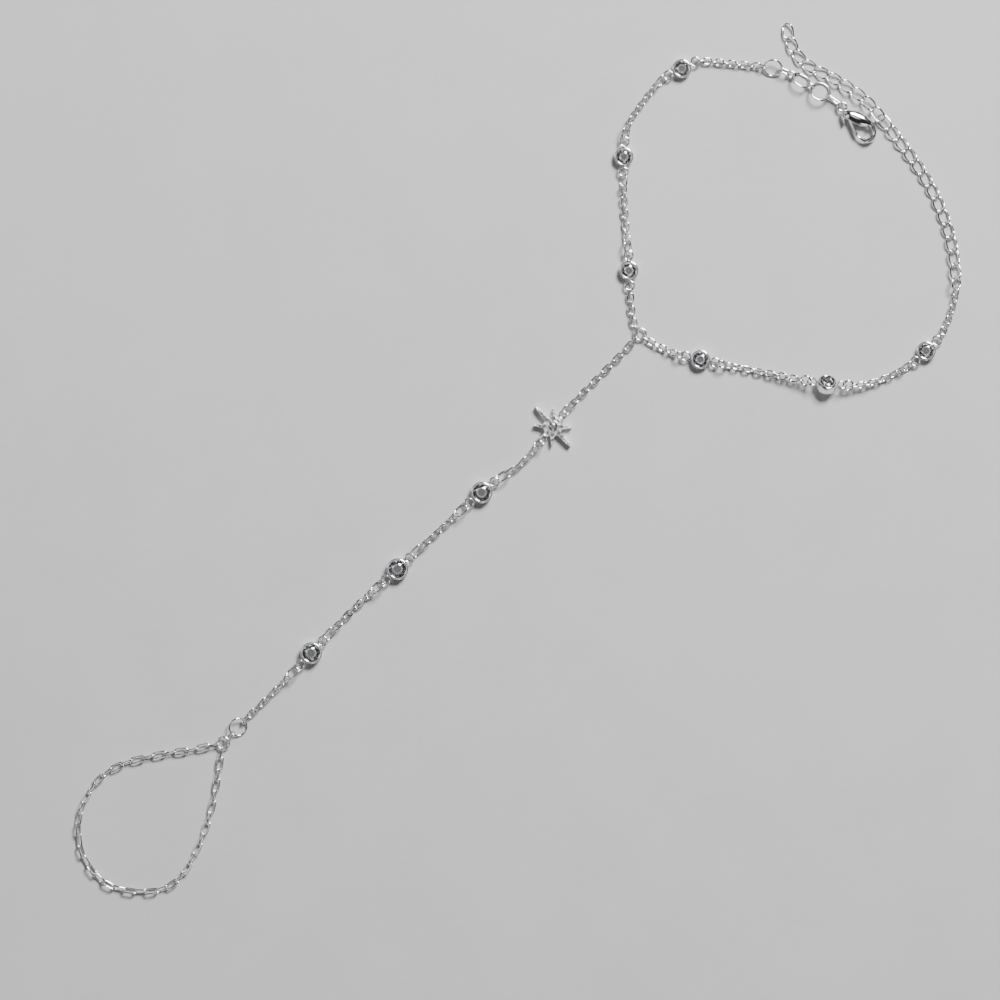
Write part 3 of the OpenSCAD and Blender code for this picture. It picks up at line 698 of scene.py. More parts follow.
WIRE = Silver("Drawn silver wire", dark=(0.84, 0.84, 0.85), light=(0.95, 0.95, 0.955),
              roughness=0.11, spread=0.1, scale=1400.0, scratches=0.35, bump=0.05)
CAST = Silver("Polished silver castings", dark=(0.86, 0.86, 0.87), light=(0.96, 0.96, 0.96),
              roughness=0.08, spread=0.08, scale=700.0, scratches=0.3, bump=0.05)
STEEL = Silver("Polished clasp", dark=(0.84, 0.84, 0.85), light=(0.95, 0.95, 0.955),
               roughness=0.09, spread=0.07, scale=500.0, scratches=0.4, bump=0.06)
STONE = CutStone("Clear brilliant", dark=(0.93, 0.95, 0.97), light=(0.99, 0.99, 1.0),
                 roughness=0.015, spread=0.01, scale=500.0, scratches=0.05, bump=0.0)
PAVE_STONE = CutStone("Clear small stones", dark=(0.93, 0.95, 0.97), light=(0.99, 0.99, 1.0),
                      roughness=0.02, spread=0.01, scale=900.0, scratches=0.05, bump=0.0)
FLOOR = Finish("Pale floor", dark=(0.42, 0.42, 0.43), light=(0.45, 0.45, 0.455),
               roughness=0.6, spread=0.1, scale=60.0, scratches=0.0, bump=0.0)


def coat(obj: Piece, material: Material) -> None:
    """Gives an object one material."""
    obj.data.materials.clear()
    obj.data.materials.append(material)


@dataclass
class Assembly:
    """A sub-assembly, with each piece that it built, the CAD node it stands for and its body."""

    made: list[tuple[Piece, str, Body]] = field(default_factory=list, init=False)

    def keep(self, piece: Piece, node: str, body: Body = Body.BRACELET) -> None:
        """Notes a finished piece."""
        self.made.append((piece, node, body))

    def dress(self, finish: Material) -> None:
        """Dresses every piece and hands it to the frame in place of its CAD node.

        Args:
            finish: The material.
        """
        for piece, node, body in self.made:
            coat(piece, finish)
            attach(piece, body.value)
            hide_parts(node)
            LOG.info("%s: %d faces, for %s", piece.name, len(piece.data.polygons), node)


# Wire work


@dataclass
class WireShape:
    """A round or oval link of bent wire, long axis along X, lying in the XY plane."""

    length: float
    width: float
    wire: float
    joint: Joint
    around: int = 34
    sides: int = 8
    # Width of the cut where the ends of a butted wire meet
    cut: float = 0.03
    # In metres: a point nearer the middle than this belongs to neither half
    middle: float = 1e-7
    soft_below: float = 50

    def build(self) -> Piece:
        """Bends the wire round in edit mode and closes it as its joint asks.

        Returns:
            The link, which is a pattern to copy.
        """
        radius = (self.width - self.wire) / 2 * MM
        obj = added(bpy.ops.mesh.primitive_circle_add, vertices=self.sides,
                    radius=self.wire / 2 * MM, fill_type="NGON",
                    location=(0, radius, 0), rotation=(0, math.pi / 2, 0))
        edit(obj, everything=True)
        gap, steps = 0.0, self.around
        if self.joint is Joint.BUTTED:
            # an odd number of steps leaves no section in the middle, where the halves part
            gap, steps = self.cut * MM / radius, self.around + 1
        else:
            bpy.ops.mesh.delete(type="ONLY_FACE")
            bpy.ops.mesh.select_all(action="SELECT")
        bpy.ops.mesh.spin(steps=steps, angle=2 * math.pi - gap, center=(0, 0, 0), axis=(0, 0, 1))
        done()
        obj.data.transform(Matrix.Rotation(gap / 2, 4, "Z"))
        face_out(obj)
        half_straight = (self.length - self.width) / 2 * MM
        if half_straight > TINY:
            edit(obj)
            for side in (-1, 1):
                pick(obj, lambda p, s=side: p.x * s > self.middle)
                bpy.ops.transform.translate(value=(side * half_straight, 0, 0))
            done()
        smooth(obj, self.soft_below)
        return obj


@dataclass
class Wirework(Assembly):
    """All bent wire of the bracelet: one piece for each CAD node of links or jump rings."""

    # A link whose length and width differ by less than this is round
    round_within: float = 0.04
    # A ring whose normal leans less than this from upright has its joint along X
    upright: float = 0.05
    patterns: dict[tuple, Piece] = field(default_factory=dict, init=False)

    def pattern(self, size: Vector, joint: Joint) -> Piece:
        """Finds the link of a size, modelled once.

        Args:
            size: Length, width and wire, in metres.
            joint: How its ends meet.

        Returns:
            The link to copy.
        """
        length, width, wire = (round(v / MM, 2) for v in size)
        if length - width < self.round_within:
            width = length
        key = (length, width, wire, joint)
        if key not in self.patterns:
            self.patterns[key] = WireShape(*key).build()
            LOG.info("pattern link %s by %s mm of %s mm wire, %s", *key[:3], joint.value)
        return self.patterns[key]

    def lay(self, node: Piece, joint: Joint, name: str) -> Piece:
        """Lays patterns on every link of a node.

        Args:
            node: The CAD node.
            joint: How the ends of its wire meet.
            name: Name of the new piece.

        Returns:
            One piece with all links of the node.
        """
        made = []
        for solid in loose_solids(node):
            pattern = self.pattern(solid.size, joint)
            hint = None
            if abs(solid.size.x - solid.size.y) < self.round_within * MM:
                hint = solid.axes.col[2].cross(Vector((0, 0, 1)))
                if hint.length < self.upright:
                    hint = Vector((1, 0, 0))
            made.append(copy_of(pattern, solid.place(hint)))
            remove(solid.mesh)
        return join(made, name)

    def build(self, nodes: Nodes) -> None:
        """Builds the cable chains, the jump rings and the clasp's tail.

        Args:
            nodes: The frame's nodes.
        """
        soldered = [n for n in nodes if "chain" in n and n != "extender_chain"]
        butted = [n for n in nodes if "rings" in n] + ["yoke_ring", "extender_ring", "clasp_tail"]
        for name in sorted(soldered):
            self.keep(self.lay(nodes[name], Joint.SOLDERED, f"{name}_links"), name)
        for name in sorted(butted):
            self.keep(self.lay(nodes[name], Joint.BUTTED, f"{name}_wire"), name)
        remove(*self.patterns.values())
        self.patterns.clear()


@dataclass
class CurbChain(Assembly):
    """The flat twisted extender: the frame's own links, rounded."""

    # Rounding thins a wire, so it is swelled first
    swell: float = 0.03
    # Two triangles that meet at less than this angle become one four-sided face
    facet: float = math.radians(80)

    def build(self, nodes: Nodes) -> None:
        """Rounds every link.

        Args:
            nodes: The frame's nodes.
        """
        made = []
        for solid in loose_solids(nodes["extender_chain"]):
            edit(solid.mesh, everything=True)
            bpy.ops.mesh.tris_convert_to_quads(face_threshold=self.facet,
                                               shape_threshold=self.facet)
            bpy.ops.mesh.normals_make_consistent(inside=False)
            bpy.ops.transform.shrink_fatten(value=self.swell * MM)
            done()
            subdivide(solid.mesh)
            made.append(solid.mesh)
        chain = join(made, "extender_chain_links")
        only(chain)
        bpy.ops.object.shade_smooth()
        self.keep(chain, "extender_chain")


# Settings


@dataclass
class RoundSetting:
    """A cup setting with a rim pressed over its stone and two soldered end rings."""

    stone: float
    height: float
    # Height of the end rings' plane over the foot
    ride: float
    wall: float = 0.4
    gap: float = 0.03
    # Height of the stone over its girdle as a share of its diameter, and how far it stands out
    crown: float = 0.14
    proud: float = 0.03
    # Width of the hole under the stone as a share of its diameter, and the foot under its tip
    seat: float = 0.66
    floor: float = 0.1
    # The lip's reach over the stone, its thickness and its height over the girdle
    lip: float = 0.13
    lip_thick: float = 0.1
    lip_over: float = 0.16
    # Rounding of the rim, and of the lip and the foot as shares of it
    rim: float = 0.24
    lip_soft: float = 0.7
    foot_soft: float = 0.4
    around: int = 64
    ring: float = 2.2
    ring_wire: float = 0.4
    ring_steps: Pair = (32, 12)
    ring_sunk: float = 0.02
    # The solder's radii as shares of the wire, then its length, place and rounding
    solder_wide: float = 0.72
    solder_narrow: float = 0.42
    solder_long: float = 0.42
    solder_out: float = 0.1
    solder_soft: float = 0.03
    solder_sides: int = 20
    soft_below: float = 40

    def levels(self) -> dict[str, float]:
        """Works out the cup.

        Returns:
            Its radii, and its heights over the plane of the end rings.
        """
        inner = self.stone / 2 + self.gap
        foot = -self.ride
        top = foot + self.height
        girdle = top - self.crown * self.stone + self.proud
        depth = girdle - foot - self.floor
        seat = self.seat * self.stone / 2
        shoulder = girdle - 2 * self.gap
        return {"inner": inner, "outer": inner + self.wall, "foot": foot, "top": top,
                "lip": girdle + self.lip_over, "shoulder": shoulder, "seat": seat,
                "seat_z": shoulder - depth * (1 - 2 * seat / self.stone)}

    def step(self, radius: float, from_radius: float, drop: float) -> None:
        """Extrudes the picked disc to a new radius.

        Args:
            radius: Its new radius.
            from_radius: Its radius.
            drop: How far down it goes.
        """
        share = radius / from_radius
        extrude(z=-drop * MM)
        bpy.ops.transform.resize(value=(share, share, 1))

    def cup(self) -> Piece:
        """Models the cup from a cylinder: rim, lip, seat and open foot.

        Returns:
            The cup.
        """
        at = self.levels()
        obj = disc(at["outer"], at["foot"], at["top"], sides=self.around)
        edit(obj)
        pick(obj, lambda f: f.normal.z > FLAT, Element.FACE)
        lip_radius = at["inner"] - self.lip
        bpy.ops.mesh.inset(thickness=(at["outer"] - lip_radius) * MM)
        under_lip = at["lip"] - self.lip_thick
        self.step(lip_radius, lip_radius, at["top"] - at["lip"])
        self.step(at["inner"], lip_radius, self.lip_thick)
        self.step(at["inner"], at["inner"], under_lip - at["shoulder"])
        self.step(at["seat"], at["inner"], at["shoulder"] - at["seat_z"])
        pick(obj, lambda f: f.normal.z < -FLAT and f.center.z < at["foot"] * MM + NEAR,
             Element.FACE)
        bpy.ops.mesh.inset(thickness=(at["outer"] - at["seat"]) * MM)
        pick(obj, lambda f: abs(f.normal.z) > FLAT and len(f.vertices) == self.around
             and abs(f.center.x) < TINY, Element.FACE)
        bpy.ops.mesh.bridge_edge_loops()
        done()
        face_out(obj)
        round_edge(obj, at["top"], at["outer"], self.rim)
        round_edge(obj, at["top"], lip_radius, self.rim * self.lip_soft)
        round_edge(obj, at["foot"], at["outer"], self.rim * self.foot_soft)
        return obj

    def end_ring(self, side: int) -> list[Piece]:
        """Models one end ring and the solder that holds it.

        Args:
            side: 1 or -1 along X.

        Returns:
            The ring and its solder.
        """
        outer = self.levels()["outer"]
        middle = outer + self.ring / 2 - self.ring_sunk
        ring = closed_ring(self.ring, self.ring_wire, (side * middle, 0, 0), self.ring_steps)
        solder = added(bpy.ops.mesh.primitive_cone_add, vertices=self.solder_sides,
                       radius1=self.ring_wire * self.solder_wide * MM,
                       radius2=self.ring_wire * self.solder_narrow * MM,
                       depth=self.solder_long * MM, end_fill_type="NGON",
                       location=(side * (outer + self.solder_out) * MM, 0, 0),
                       rotation=(0, side * math.pi / 2, 0))
        edit(solder, everything=True)
        bevel(self.solder_soft, segments=2)
        done()
        return [ring, solder]

    def build(self) -> Piece:
        """Models the whole setting once, in its own axes.

        Returns:
            The setting, which is a pattern to copy.
        """
        parts = [self.cup(), *self.end_ring(1), *self.end_ring(-1)]
        obj = join(parts, "setting pattern")
        smooth(obj, self.soft_below)
        return obj


def round_edge(obj: Piece, height: float, radius: float, width: float) -> None:
    """Rounds one round edge of a turned piece.

    Args:
        obj: The piece, turned about Z.
        height: Height of the edge.
        radius: Radius of the edge.
        width: Width of the rounding.
    """
    edit(obj)
    pick(obj, lambda p: abs(p.z - height * MM) < TINY
         and abs(math.hypot(p.x, p.y) - radius * MM) < NEAR)
    bpy.ops.mesh.select_mode(type="EDGE")
    bevel(width)
    done()


@dataclass
class Settings(Assembly):
    """The round settings of one strand."""

    strand: str
    count: int
    shape: RoundSetting

    def build(self, nodes: Nodes) -> None:
        """Copies the setting onto each CAD setting.

        Args:
            nodes: The frame's nodes.
        """
        pattern = self.shape.build()
        for i in range(1, self.count + 1):
            node = f"{self.strand}_bezel_{i}"
            solid = loose_solids(nodes[node])[0]
            up = solid.axes.col[2]
            foot = solid.middle - up * solid.size.z / 2
            origin = foot + up * self.shape.ride * MM
            place = Matrix.Translation(origin) @ solid.axes.to_4x4()
            self.keep(join([copy_of(pattern, place)], f"{self.strand}_setting_{i}"), node)
            remove(solid.mesh)
        remove(pattern)


# Star


@dataclass
class StarMount(Assembly):
    """The star, with X along the strand: plate, collets, beads, claws and two loops.

    Heights count from the surface that it lies on.
    """

    hub: float = 2.0
    top: float = 1.4
    plate_soft: float = 0.12
    long_arm: float = 5.3
    short_arm: float = 3.8
    long_arms: Pair = (90, -90)
    short_arms: tuple[float, ...] = (45, 135, -45, -135)
    turn: float = -8.5
    arm_root: float = 1.42
    arm_tip: float = 0.34
    arm_edge: float = 0.1
    # Rounding of an arm's end as a share of its tip
    arm_round: float = 0.42
    # An arm's foot and top lie this far inside the plate's, so that no faces coincide
    arm_inset: float = 0.02
    # Less than any side of an arm, to tell its edges apart
    arm_least: float = 0.1
    neck: float = 1.0
    neck_middle: float = 1.2
    neck_long: float = 2.35
    neck_inset: float = 0.03
    loop_x: float = 3.05
    loop: float = 1.8
    loop_wire: float = 0.4
    loop_z: float = 1.2967
    loop_steps: Pair = (40, 14)
    # Points higher over the plate than this belong to the loops or the collar
    loop_rise: float = 0.05
    collar: float = 1.25
    collar_foot: float = 0.04
    collar_top: float = 1.8
    stone: float = 1.9
    pocket_foot: float = 0.7
    pocket_gap: float = 0.02
    # Depth of a small pocket: a share of its stone and a little more
    pocket_share: float = 0.4
    pocket_more: float = 0.06
    cutter_rise: float = 1.0
    # Small stones: distance of the first, step to the next, size, and how much each shrinks
    seat_from: float = 1.73
    seat_step: float = 0.856
    seat_size: float = 0.84
    long_taper: float = 0.18
    short_taper: float = 0.4
    long_stones: int = 4
    short_stones: int = 2
    # The stone on a neck: its size, and how far it lies inwards, as shares
    neck_stone: float = 0.7
    neck_stone_in: float = 0.15
    collet_wall: float = 0.13
    collet_rise: float = 0.05
    # Each collet is this much higher than the one before, so that no two tops coincide
    collet_layer: float = 0.002
    bead: float = 0.125
    bead_rise: float = 0.04
    bead_out: float = 0.045
    bead_corners: tuple[float, ...] = (45, 135, 225, 315)
    # Two beads nearer than this become one, and none lies this near the collar
    bead_near: float = 0.26
    bead_clear: float = 0.1
    tip_bead: float = 0.19
    tip_in: float = 0.2
    tip_sunk: float = 0.03
    domed: float = 0.8
    claws: int = 8
    claw: float = 0.15
    claw_at: float = 1.08
    claw_foot: float = 0.1
    claw_rise: float = 0.06
    claw_tip: float = 0.17
    claw_tip_at: float = 1.0
    claw_tip_rise: float = 0.04
    small_soft: float = 0.05
    soft_below: float = 40

    def arms(self) -> list[Pair]:
        """Lists the arms.

        Returns:
            Angle and length of each.
        """
        return ([(a + self.turn, self.long_arm) for a in self.long_arms]
                + [(a + self.turn, self.short_arm) for a in self.short_arms])

    def seats(self) -> list[Triple]:
        """Lists the small stones.

        Returns:
            Angle, distance from the middle and diameter of each.
        """
        rows = ((self.long_arms, self.long_stones, self.long_taper),
                (self.short_arms, self.short_stones, self.short_taper))
        found = [(a + self.turn, self.seat_from + self.seat_step * n,
                  self.seat_size * (1 - taper * n))
                 for angles, count, taper in rows for a in angles for n in range(count)]
        inner = self.seat_from - self.neck_stone_in * self.seat_size
        return found + [(a, inner, self.neck_stone * self.seat_size) for a in (0, 180)]

    def arm(self, angle: float, length: float) -> Piece:
        """Models one tapered arm with a rounded tip and soft upper edges.

        Args:
            angle: Where it points.
            length: How far it reaches from the middle.

        Returns:
            The arm.
        """
        low, high = self.arm_inset, self.top - self.arm_inset
        half, least = length / 2, self.arm_least * MM
        obj = block((length, self.arm_root, high - low), (half, 0, (high + low) / 2))
        edit(obj)
        pick(obj, lambda p: p.x > half * MM)
        bpy.ops.transform.resize(value=(1, self.arm_tip / self.arm_root, 1))
        pick(obj, lambda a, b: min(a.x, b.x) > half * MM and abs(a.z - b.z) > least,
             Element.EDGE)
        bevel(self.arm_tip * self.arm_round)
        pick(obj, lambda a, b: min(a.z, b.z) > high * MM - NEAR and max(a.x, b.x) > least,
             Element.EDGE)
        bevel(self.arm_edge, segments=4)
        done()
        obj.data.transform(Matrix.Rotation(math.radians(angle), 4, "Z"))
        return obj

    def plate(self) -> Piece:
        """Fuses hub, arms, necks and collets, and cuts the pockets of the stones.

        Returns:
            The plate.
        """
        plate = disc(self.hub, 0, self.top, self.plate_soft)
        pieces = [self.arm(angle, length) for angle, length in self.arms()]
        pieces += [block((self.neck_long, self.neck, self.top - 2 * self.neck_inset),
                         (side * self.neck_middle, 0, self.top / 2)) for side in (-1, 1)]
        pieces.append(disc(self.collar, self.collar_foot, self.collar_top, self.plate_soft))
        pockets = [disc(self.stone / 2 + self.pocket_gap, self.pocket_foot,
                        self.top + self.cutter_rise)]
        for i, (angle, distance, size) in enumerate(self.seats()):
            at = polar(angle, distance).xy
            rise = self.collet_rise + self.collet_layer * i
            pieces.append(disc(size / 2 + self.collet_wall, rise, self.top + rise,
                               self.small_soft, at))
            depth = self.pocket_share * size + self.pocket_more
            pockets.append(disc(size / 2 + self.pocket_gap, self.top - depth,
                                self.top + self.cutter_rise, at=at))
        fuse(plate, Fuse.ADD, pieces)
        return fuse(plate, Fuse.CUT, pockets)

    def beads(self) -> list[Piece]:
        """Models the beads beside and between the small stones, and one at each tip.

        Returns:
            The beads, of which two that would meet are one.
        """
        places: list[Vector] = []
        for angle, distance, size in self.seats():
            for corner in self.bead_corners:
                place = polar(angle, distance, self.top + self.bead_rise, corner,
                              size / 2 + self.bead_out)
                near = [i for i, other in enumerate(places)
                        if (other - place).length < self.bead_near]
                if near:
                    places[near[0]] = (places[near[0]] + place) / 2
                elif place.xy.length > self.collar + self.bead_clear:
                    places.append(place)
        made = [bead(place, self.bead) for place in places]
        for angle, length in self.arms():
            tip = polar(angle, length - self.tip_in, self.top - self.tip_sunk)
            made.append(bead(tip, self.tip_bead, self.domed))
        return made

    def claw_pieces(self, angle: float) -> list[Piece]:
        """Models one claw of the middle stone.

        Args:
            angle: Where it stands.

        Returns:
            Its upright round wire and the domed tip that is laid over the stone.
        """
        post = disc(self.claw, self.top - self.claw_foot, self.collar_top + self.claw_rise,
                    self.small_soft, polar(angle, self.claw_at).xy)
        tip = polar(angle, self.claw_tip_at, self.collar_top + self.claw_tip_rise)
        return [post, bead(tip, self.claw_tip, self.domed)]

    def build(self, nodes: Nodes) -> None:
        """Builds the whole mount and lays it on the frame's star.

        Args:
            nodes: The frame's nodes.
        """
        parts = [self.plate(), *self.beads()]
        parts += [closed_ring(self.loop, self.loop_wire, (side * self.loop_x, 0, self.loop_z),
                              self.loop_steps) for side in (-1, 1)]
        for i in range(self.claws):
            parts += self.claw_pieces(360 / self.claws * (i + 0.5) + self.turn)
        star = join(parts, "star_mount")
        heading = self.heading(nodes["star_setting"])
        star.data.transform(Matrix.Rotation(heading, 4, "Z"))
        smooth(star, self.soft_below)
        self.keep(star, "star_setting")

    def heading(self, node: Piece) -> float:
        """Reads which way the frame's star points from the tops of its two loops.

        Args:
            node: The CAD node of the star.

        Returns:
            Its heading in radians.
        """
        tops = [v.co.xy for v in node.data.vertices if v.co.z > (self.top + self.loop_rise) * MM
                and v.co.xy.length > self.hub * MM]
        middle = sum((co if co.x > 0 else -co for co in tops), Vector((0, 0)))
        return math.atan2(middle.y, middle.x)


# Clasp


@dataclass
class LobsterClasp(Assembly):
    """The clasp: a drawn-out shell with its loop, knuckle and slot, and the lever in it.

    Its own axes start in the middle of its loop.
    """

    place: Triple = (57.83, 63.944, 1.3)
    turn: float = -53.9983
    pivot: Pair = (2.1736, -0.28)
    loop: float = 2.2
    loop_wire: float = 0.5
    loop_steps: Pair = (40, 14)
    solder_at: Triple = (1.08, -0.05, 0)
    solder: float = 0.4
    knuckle: float = 0.65
    knuckle_height: float = 1.764
    knuckle_soft: float = 0.12
    # The lever's room in the shell
    lever_gap: float = 0.92
    slot_reach: float = 3.2
    slot_width: float = 0.96
    slot_turn: float = 7.93
    slot_sweep: Pair = (-131, 6)
    slot_sides: int = 72
    hub_room: float = 0.7
    pin: float = 0.61
    pin_reach: float = 2.0
    pin_sides: int = 32
    lever_thick: float = 0.8
    lever_hub: float = 0.55
    lever_width: float = 0.66
    lever_end: Pair = (6.16, -0.988)
    lever_bore: float = 0.66
    bore_reach: float = 1.0
    # Rounding of a bar's ends and of its long edges, as shares of its width
    lever_round: float = 0.48
    lever_soft: float = 0.26
    thumb_from: Pair = (1.197, -1.0)
    thumb_to: Pair = (2.948, -1.62)
    thumb_width: float = 0.34
    thumb_neck: float = 0.5
    around: int = 12
    # Rounding draws the shell in, so it is swelled first
    swell: float = 1.045
    # Spacing of the sections while they are extruded in a straight row
    spacing: float = 4.0
    # In metres: height at which the laid sections wait, clear of the row
    aside: float = 1.0
    soft_below: float = 38
    # Sections along the shell: middle, half width and half height
    sections: tuple[tuple[float, float, float, float], ...] = (
        (1.05, -0.08, 0.35, 0.42), (1.2, -0.01, 0.56, 0.76), (1.72, 0.08, 0.92, 0.97),
        (2.42, 0.37, 1.26, 1.05), (3.33, 0.89, 1.44, 1.05), (4.25, 1.48, 1.38, 1.01),
        (5.24, 2.05, 1.09, 0.88), (6.05, 2.53, 0.73, 0.67), (6.84, 2.66, 0.56, 0.59),
        (7.56, 2.47, 0.49, 0.55), (8.2, 2.0, 0.49, 0.53), (8.62, 1.31, 0.52, 0.52),
        (8.69, 0.48, 0.48, 0.5), (8.39, -0.24, 0.44, 0.49), (7.82, -0.61, 0.33, 0.42),
        (7.35, -0.76, 0.26, 0.32), (6.88, -0.91, 0.22, 0.25), (6.57, -0.97, 0.2, 0.22),
        (6.53, -0.975, 0.19, 0.21))

    def matrix(self) -> Matrix:
        """Gives the way from the clasp's own axes to the frame."""
        turned = Matrix.Rotation(math.radians(self.turn), 4, "Z")
        return Matrix.Translation(Vector(self.place) * MM) @ turned

    def headings(self) -> list[float]:
        """Works out how the shell bends.

        Returns:
            Direction of its middle line at each section, in radians.
        """
        last = len(self.sections) - 1
        found = []
        for i in range(last + 1):
            a, b = self.sections[max(i - 1, 0)], self.sections[min(i + 1, last)]
            found.append(math.atan2(b[1] - a[1], b[0] - a[0]))
        return found

    def shell(self) -> Piece:
        """Extrudes the shell section by section, then lays each section in its place.

        Returns:
            The closed shell.
        """
        _, _, half_width, half_height = self.sections[0]
        obj = added(bpy.ops.mesh.primitive_circle_add, vertices=self.around, radius=MM,
                    fill_type="NGON", rotation=(0, math.pi / 2, 0))
        edit(obj, everything=True)
        bpy.ops.transform.resize(value=(1, half_width * self.swell, half_height * self.swell))
        for i, (before, here) in enumerate(zip(self.sections, self.sections[1:]), 1):
            extrude(x=self.spacing * MM)
            bpy.ops.transform.resize(value=(1, here[2] / before[2], here[3] / before[3]),
                                     center_override=(i * self.spacing * MM, 0, 0))
        for i, (heading, section) in enumerate(zip(self.headings(), self.sections)):
            at = i * self.spacing * MM
            x, y = section[0] * MM, section[1] * MM
            pick(obj, lambda p, at=at: abs(p.x - at) < NEAR and p.z < self.aside / 2)
            bpy.ops.transform.translate(value=(x - at, y, self.aside))
            bpy.ops.transform.rotate(value=-heading, orient_axis="Z",
                                     center_override=(x, y, self.aside))
        bpy.ops.mesh.select_all(action="SELECT")
        bpy.ops.transform.translate(value=(0, 0, -self.aside))
        done()
        face_out(obj)
        subdivide(obj)
        return obj

    def slot_cutters(self) -> list[Piece]:
        """Models what is cut out of the shell.

        Returns:
            The fan that the thumb blade sweeps, the hub's and the bar's room, and the pin's hole.
        """
        x, y = self.pivot
        half, pivot = self.lever_gap / 2, Vector(self.pivot) * MM
        low, high = map(math.radians, self.slot_sweep)
        fan = added(bpy.ops.mesh.primitive_circle_add, vertices=self.slot_sides,
                    radius=self.slot_reach * MM, fill_type="TRIFAN",
                    location=(x * MM, y * MM, -half * MM))
        edit(fan)

        def outside(p: Vector) -> bool:
            """Says whether a point of the rim lies outside the sweep."""
            way = p.xy - pivot
            return way.length > NEAR and not low < math.atan2(way.y, way.x) < high

        pick(fan, outside)
        bpy.ops.mesh.delete(type="VERT")
        bpy.ops.mesh.select_all(action="SELECT")
        extrude(z=self.lever_gap * MM)
        done()
        face_out(fan)
        hub = disc(self.hub_room, -half, half, at=self.pivot)
        angle = math.radians(self.slot_turn)
        reach = self.slot_reach / 2
        bar = block((self.slot_reach, self.slot_width, self.lever_gap),
                    (x + math.cos(angle) * reach, y + math.sin(angle) * reach, 0), angle)
        hole = disc(self.pin / 2, -self.pin_reach, self.pin_reach, at=self.pivot,
                    sides=self.pin_sides)
        return [fan, hub, bar, hole]

    def body(self) -> Piece:
        """Models the shell, its knuckle and its loop, and cuts the slot and the pin's hole.

        Returns:
            The clasp without its lever.
        """
        shell = self.shell()
        half = self.knuckle_height / 2
        knuckle = disc(self.knuckle, -half, half, at=self.pivot)
        for side in (-1, 1):
            edit(knuckle)
            pick(knuckle, lambda p, s=side: p.z * s > 0)
            bpy.ops.mesh.select_mode(type="EDGE")
            bevel(self.knuckle_soft, segments=4)
            done()
        fuse(shell, Fuse.ADD, [knuckle])
        fuse(shell, Fuse.CUT, self.slot_cutters())
        loop = closed_ring(self.loop, self.loop_wire, (0, 0, 0), self.loop_steps)
        solder = bead(Vector(self.solder_at), self.solder)
        body = join([shell, loop, solder], "clasp_shell")
        body.data.transform(self.matrix())
        smooth(body, self.soft_below)
        return body

    def bar(self, start: Pair, end: Pair, width: float, round_start: bool) -> Piece:
        """Models one bar of the lever with a rounded end and soft edges.

        Args:
            start: Where it begins.
            end: Middle of its round end.
            width: Its width.
            round_start: Whether the start is rounded too.

        Returns:
            The bar.
        """
        way = Vector(end) - Vector(start)
        back = width / 2 if round_start else 0.0
        length = way.length + width / 2 + back
        thick = self.lever_thick * MM
        obj = block((length, width, self.lever_thick), (length / 2 - back, 0, 0))
        edit(obj)
        pick(obj, lambda a, b: abs(a.z - b.z) > thick / 2 and (a.x > 0 or round_start),
             Element.EDGE)
        bevel(width * self.lever_round, segments=6)
        for side in (-1, 1):
            pick(obj, lambda a, b, s=side: min(a.z * s, b.z * s) > thick / 2 - NEAR, Element.EDGE)
            bevel(width * self.lever_soft, segments=4)
        done()
        obj.data.transform(Matrix.Translation(Vector((*start, 0)) * MM)
                           @ Matrix.Rotation(math.atan2(way.y, way.x), 4, "Z"))
        return obj

    def lever(self) -> Piece:
        """Models the lever: hub, long bar and the thumb blade on its neck.

        Returns:
            The lever.
        """
        half = self.lever_thick / 2
        thumb = tuple((a + b) / 2 for a, b in zip(self.thumb_from, self.thumb_to))
        lever = disc(self.lever_hub, -half, half, at=self.pivot)
        fuse(lever, Fuse.ADD, [
            self.bar(self.pivot, self.lever_end, self.lever_width, False),
            self.bar(self.pivot, thumb, self.thumb_neck, False),
            self.bar(self.thumb_from, self.thumb_to, self.thumb_width, True)])
        bore = disc(self.lever_bore / 2, -self.bore_reach, self.bore_reach, at=self.pivot)
        fuse(lever, Fuse.CUT, [bore])
        lever.data.transform(self.matrix())
        smooth(lever, self.soft_below)
        return named(lever, "clasp_thumb_lever")

    def build(self, nodes: Nodes) -> None:
        """Builds the shell and the lever. The CAD's own pin stays between them."""
        self.keep(self.body(), "clasp_body")
        self.keep(self.lever(), "clasp_lever", Body.LEVER)


# Stage


@dataclass(frozen=True)
class Lamp:
    """One soft square light, in metres and watts."""

    name: str
    place: Triple
    size: float
    power: float


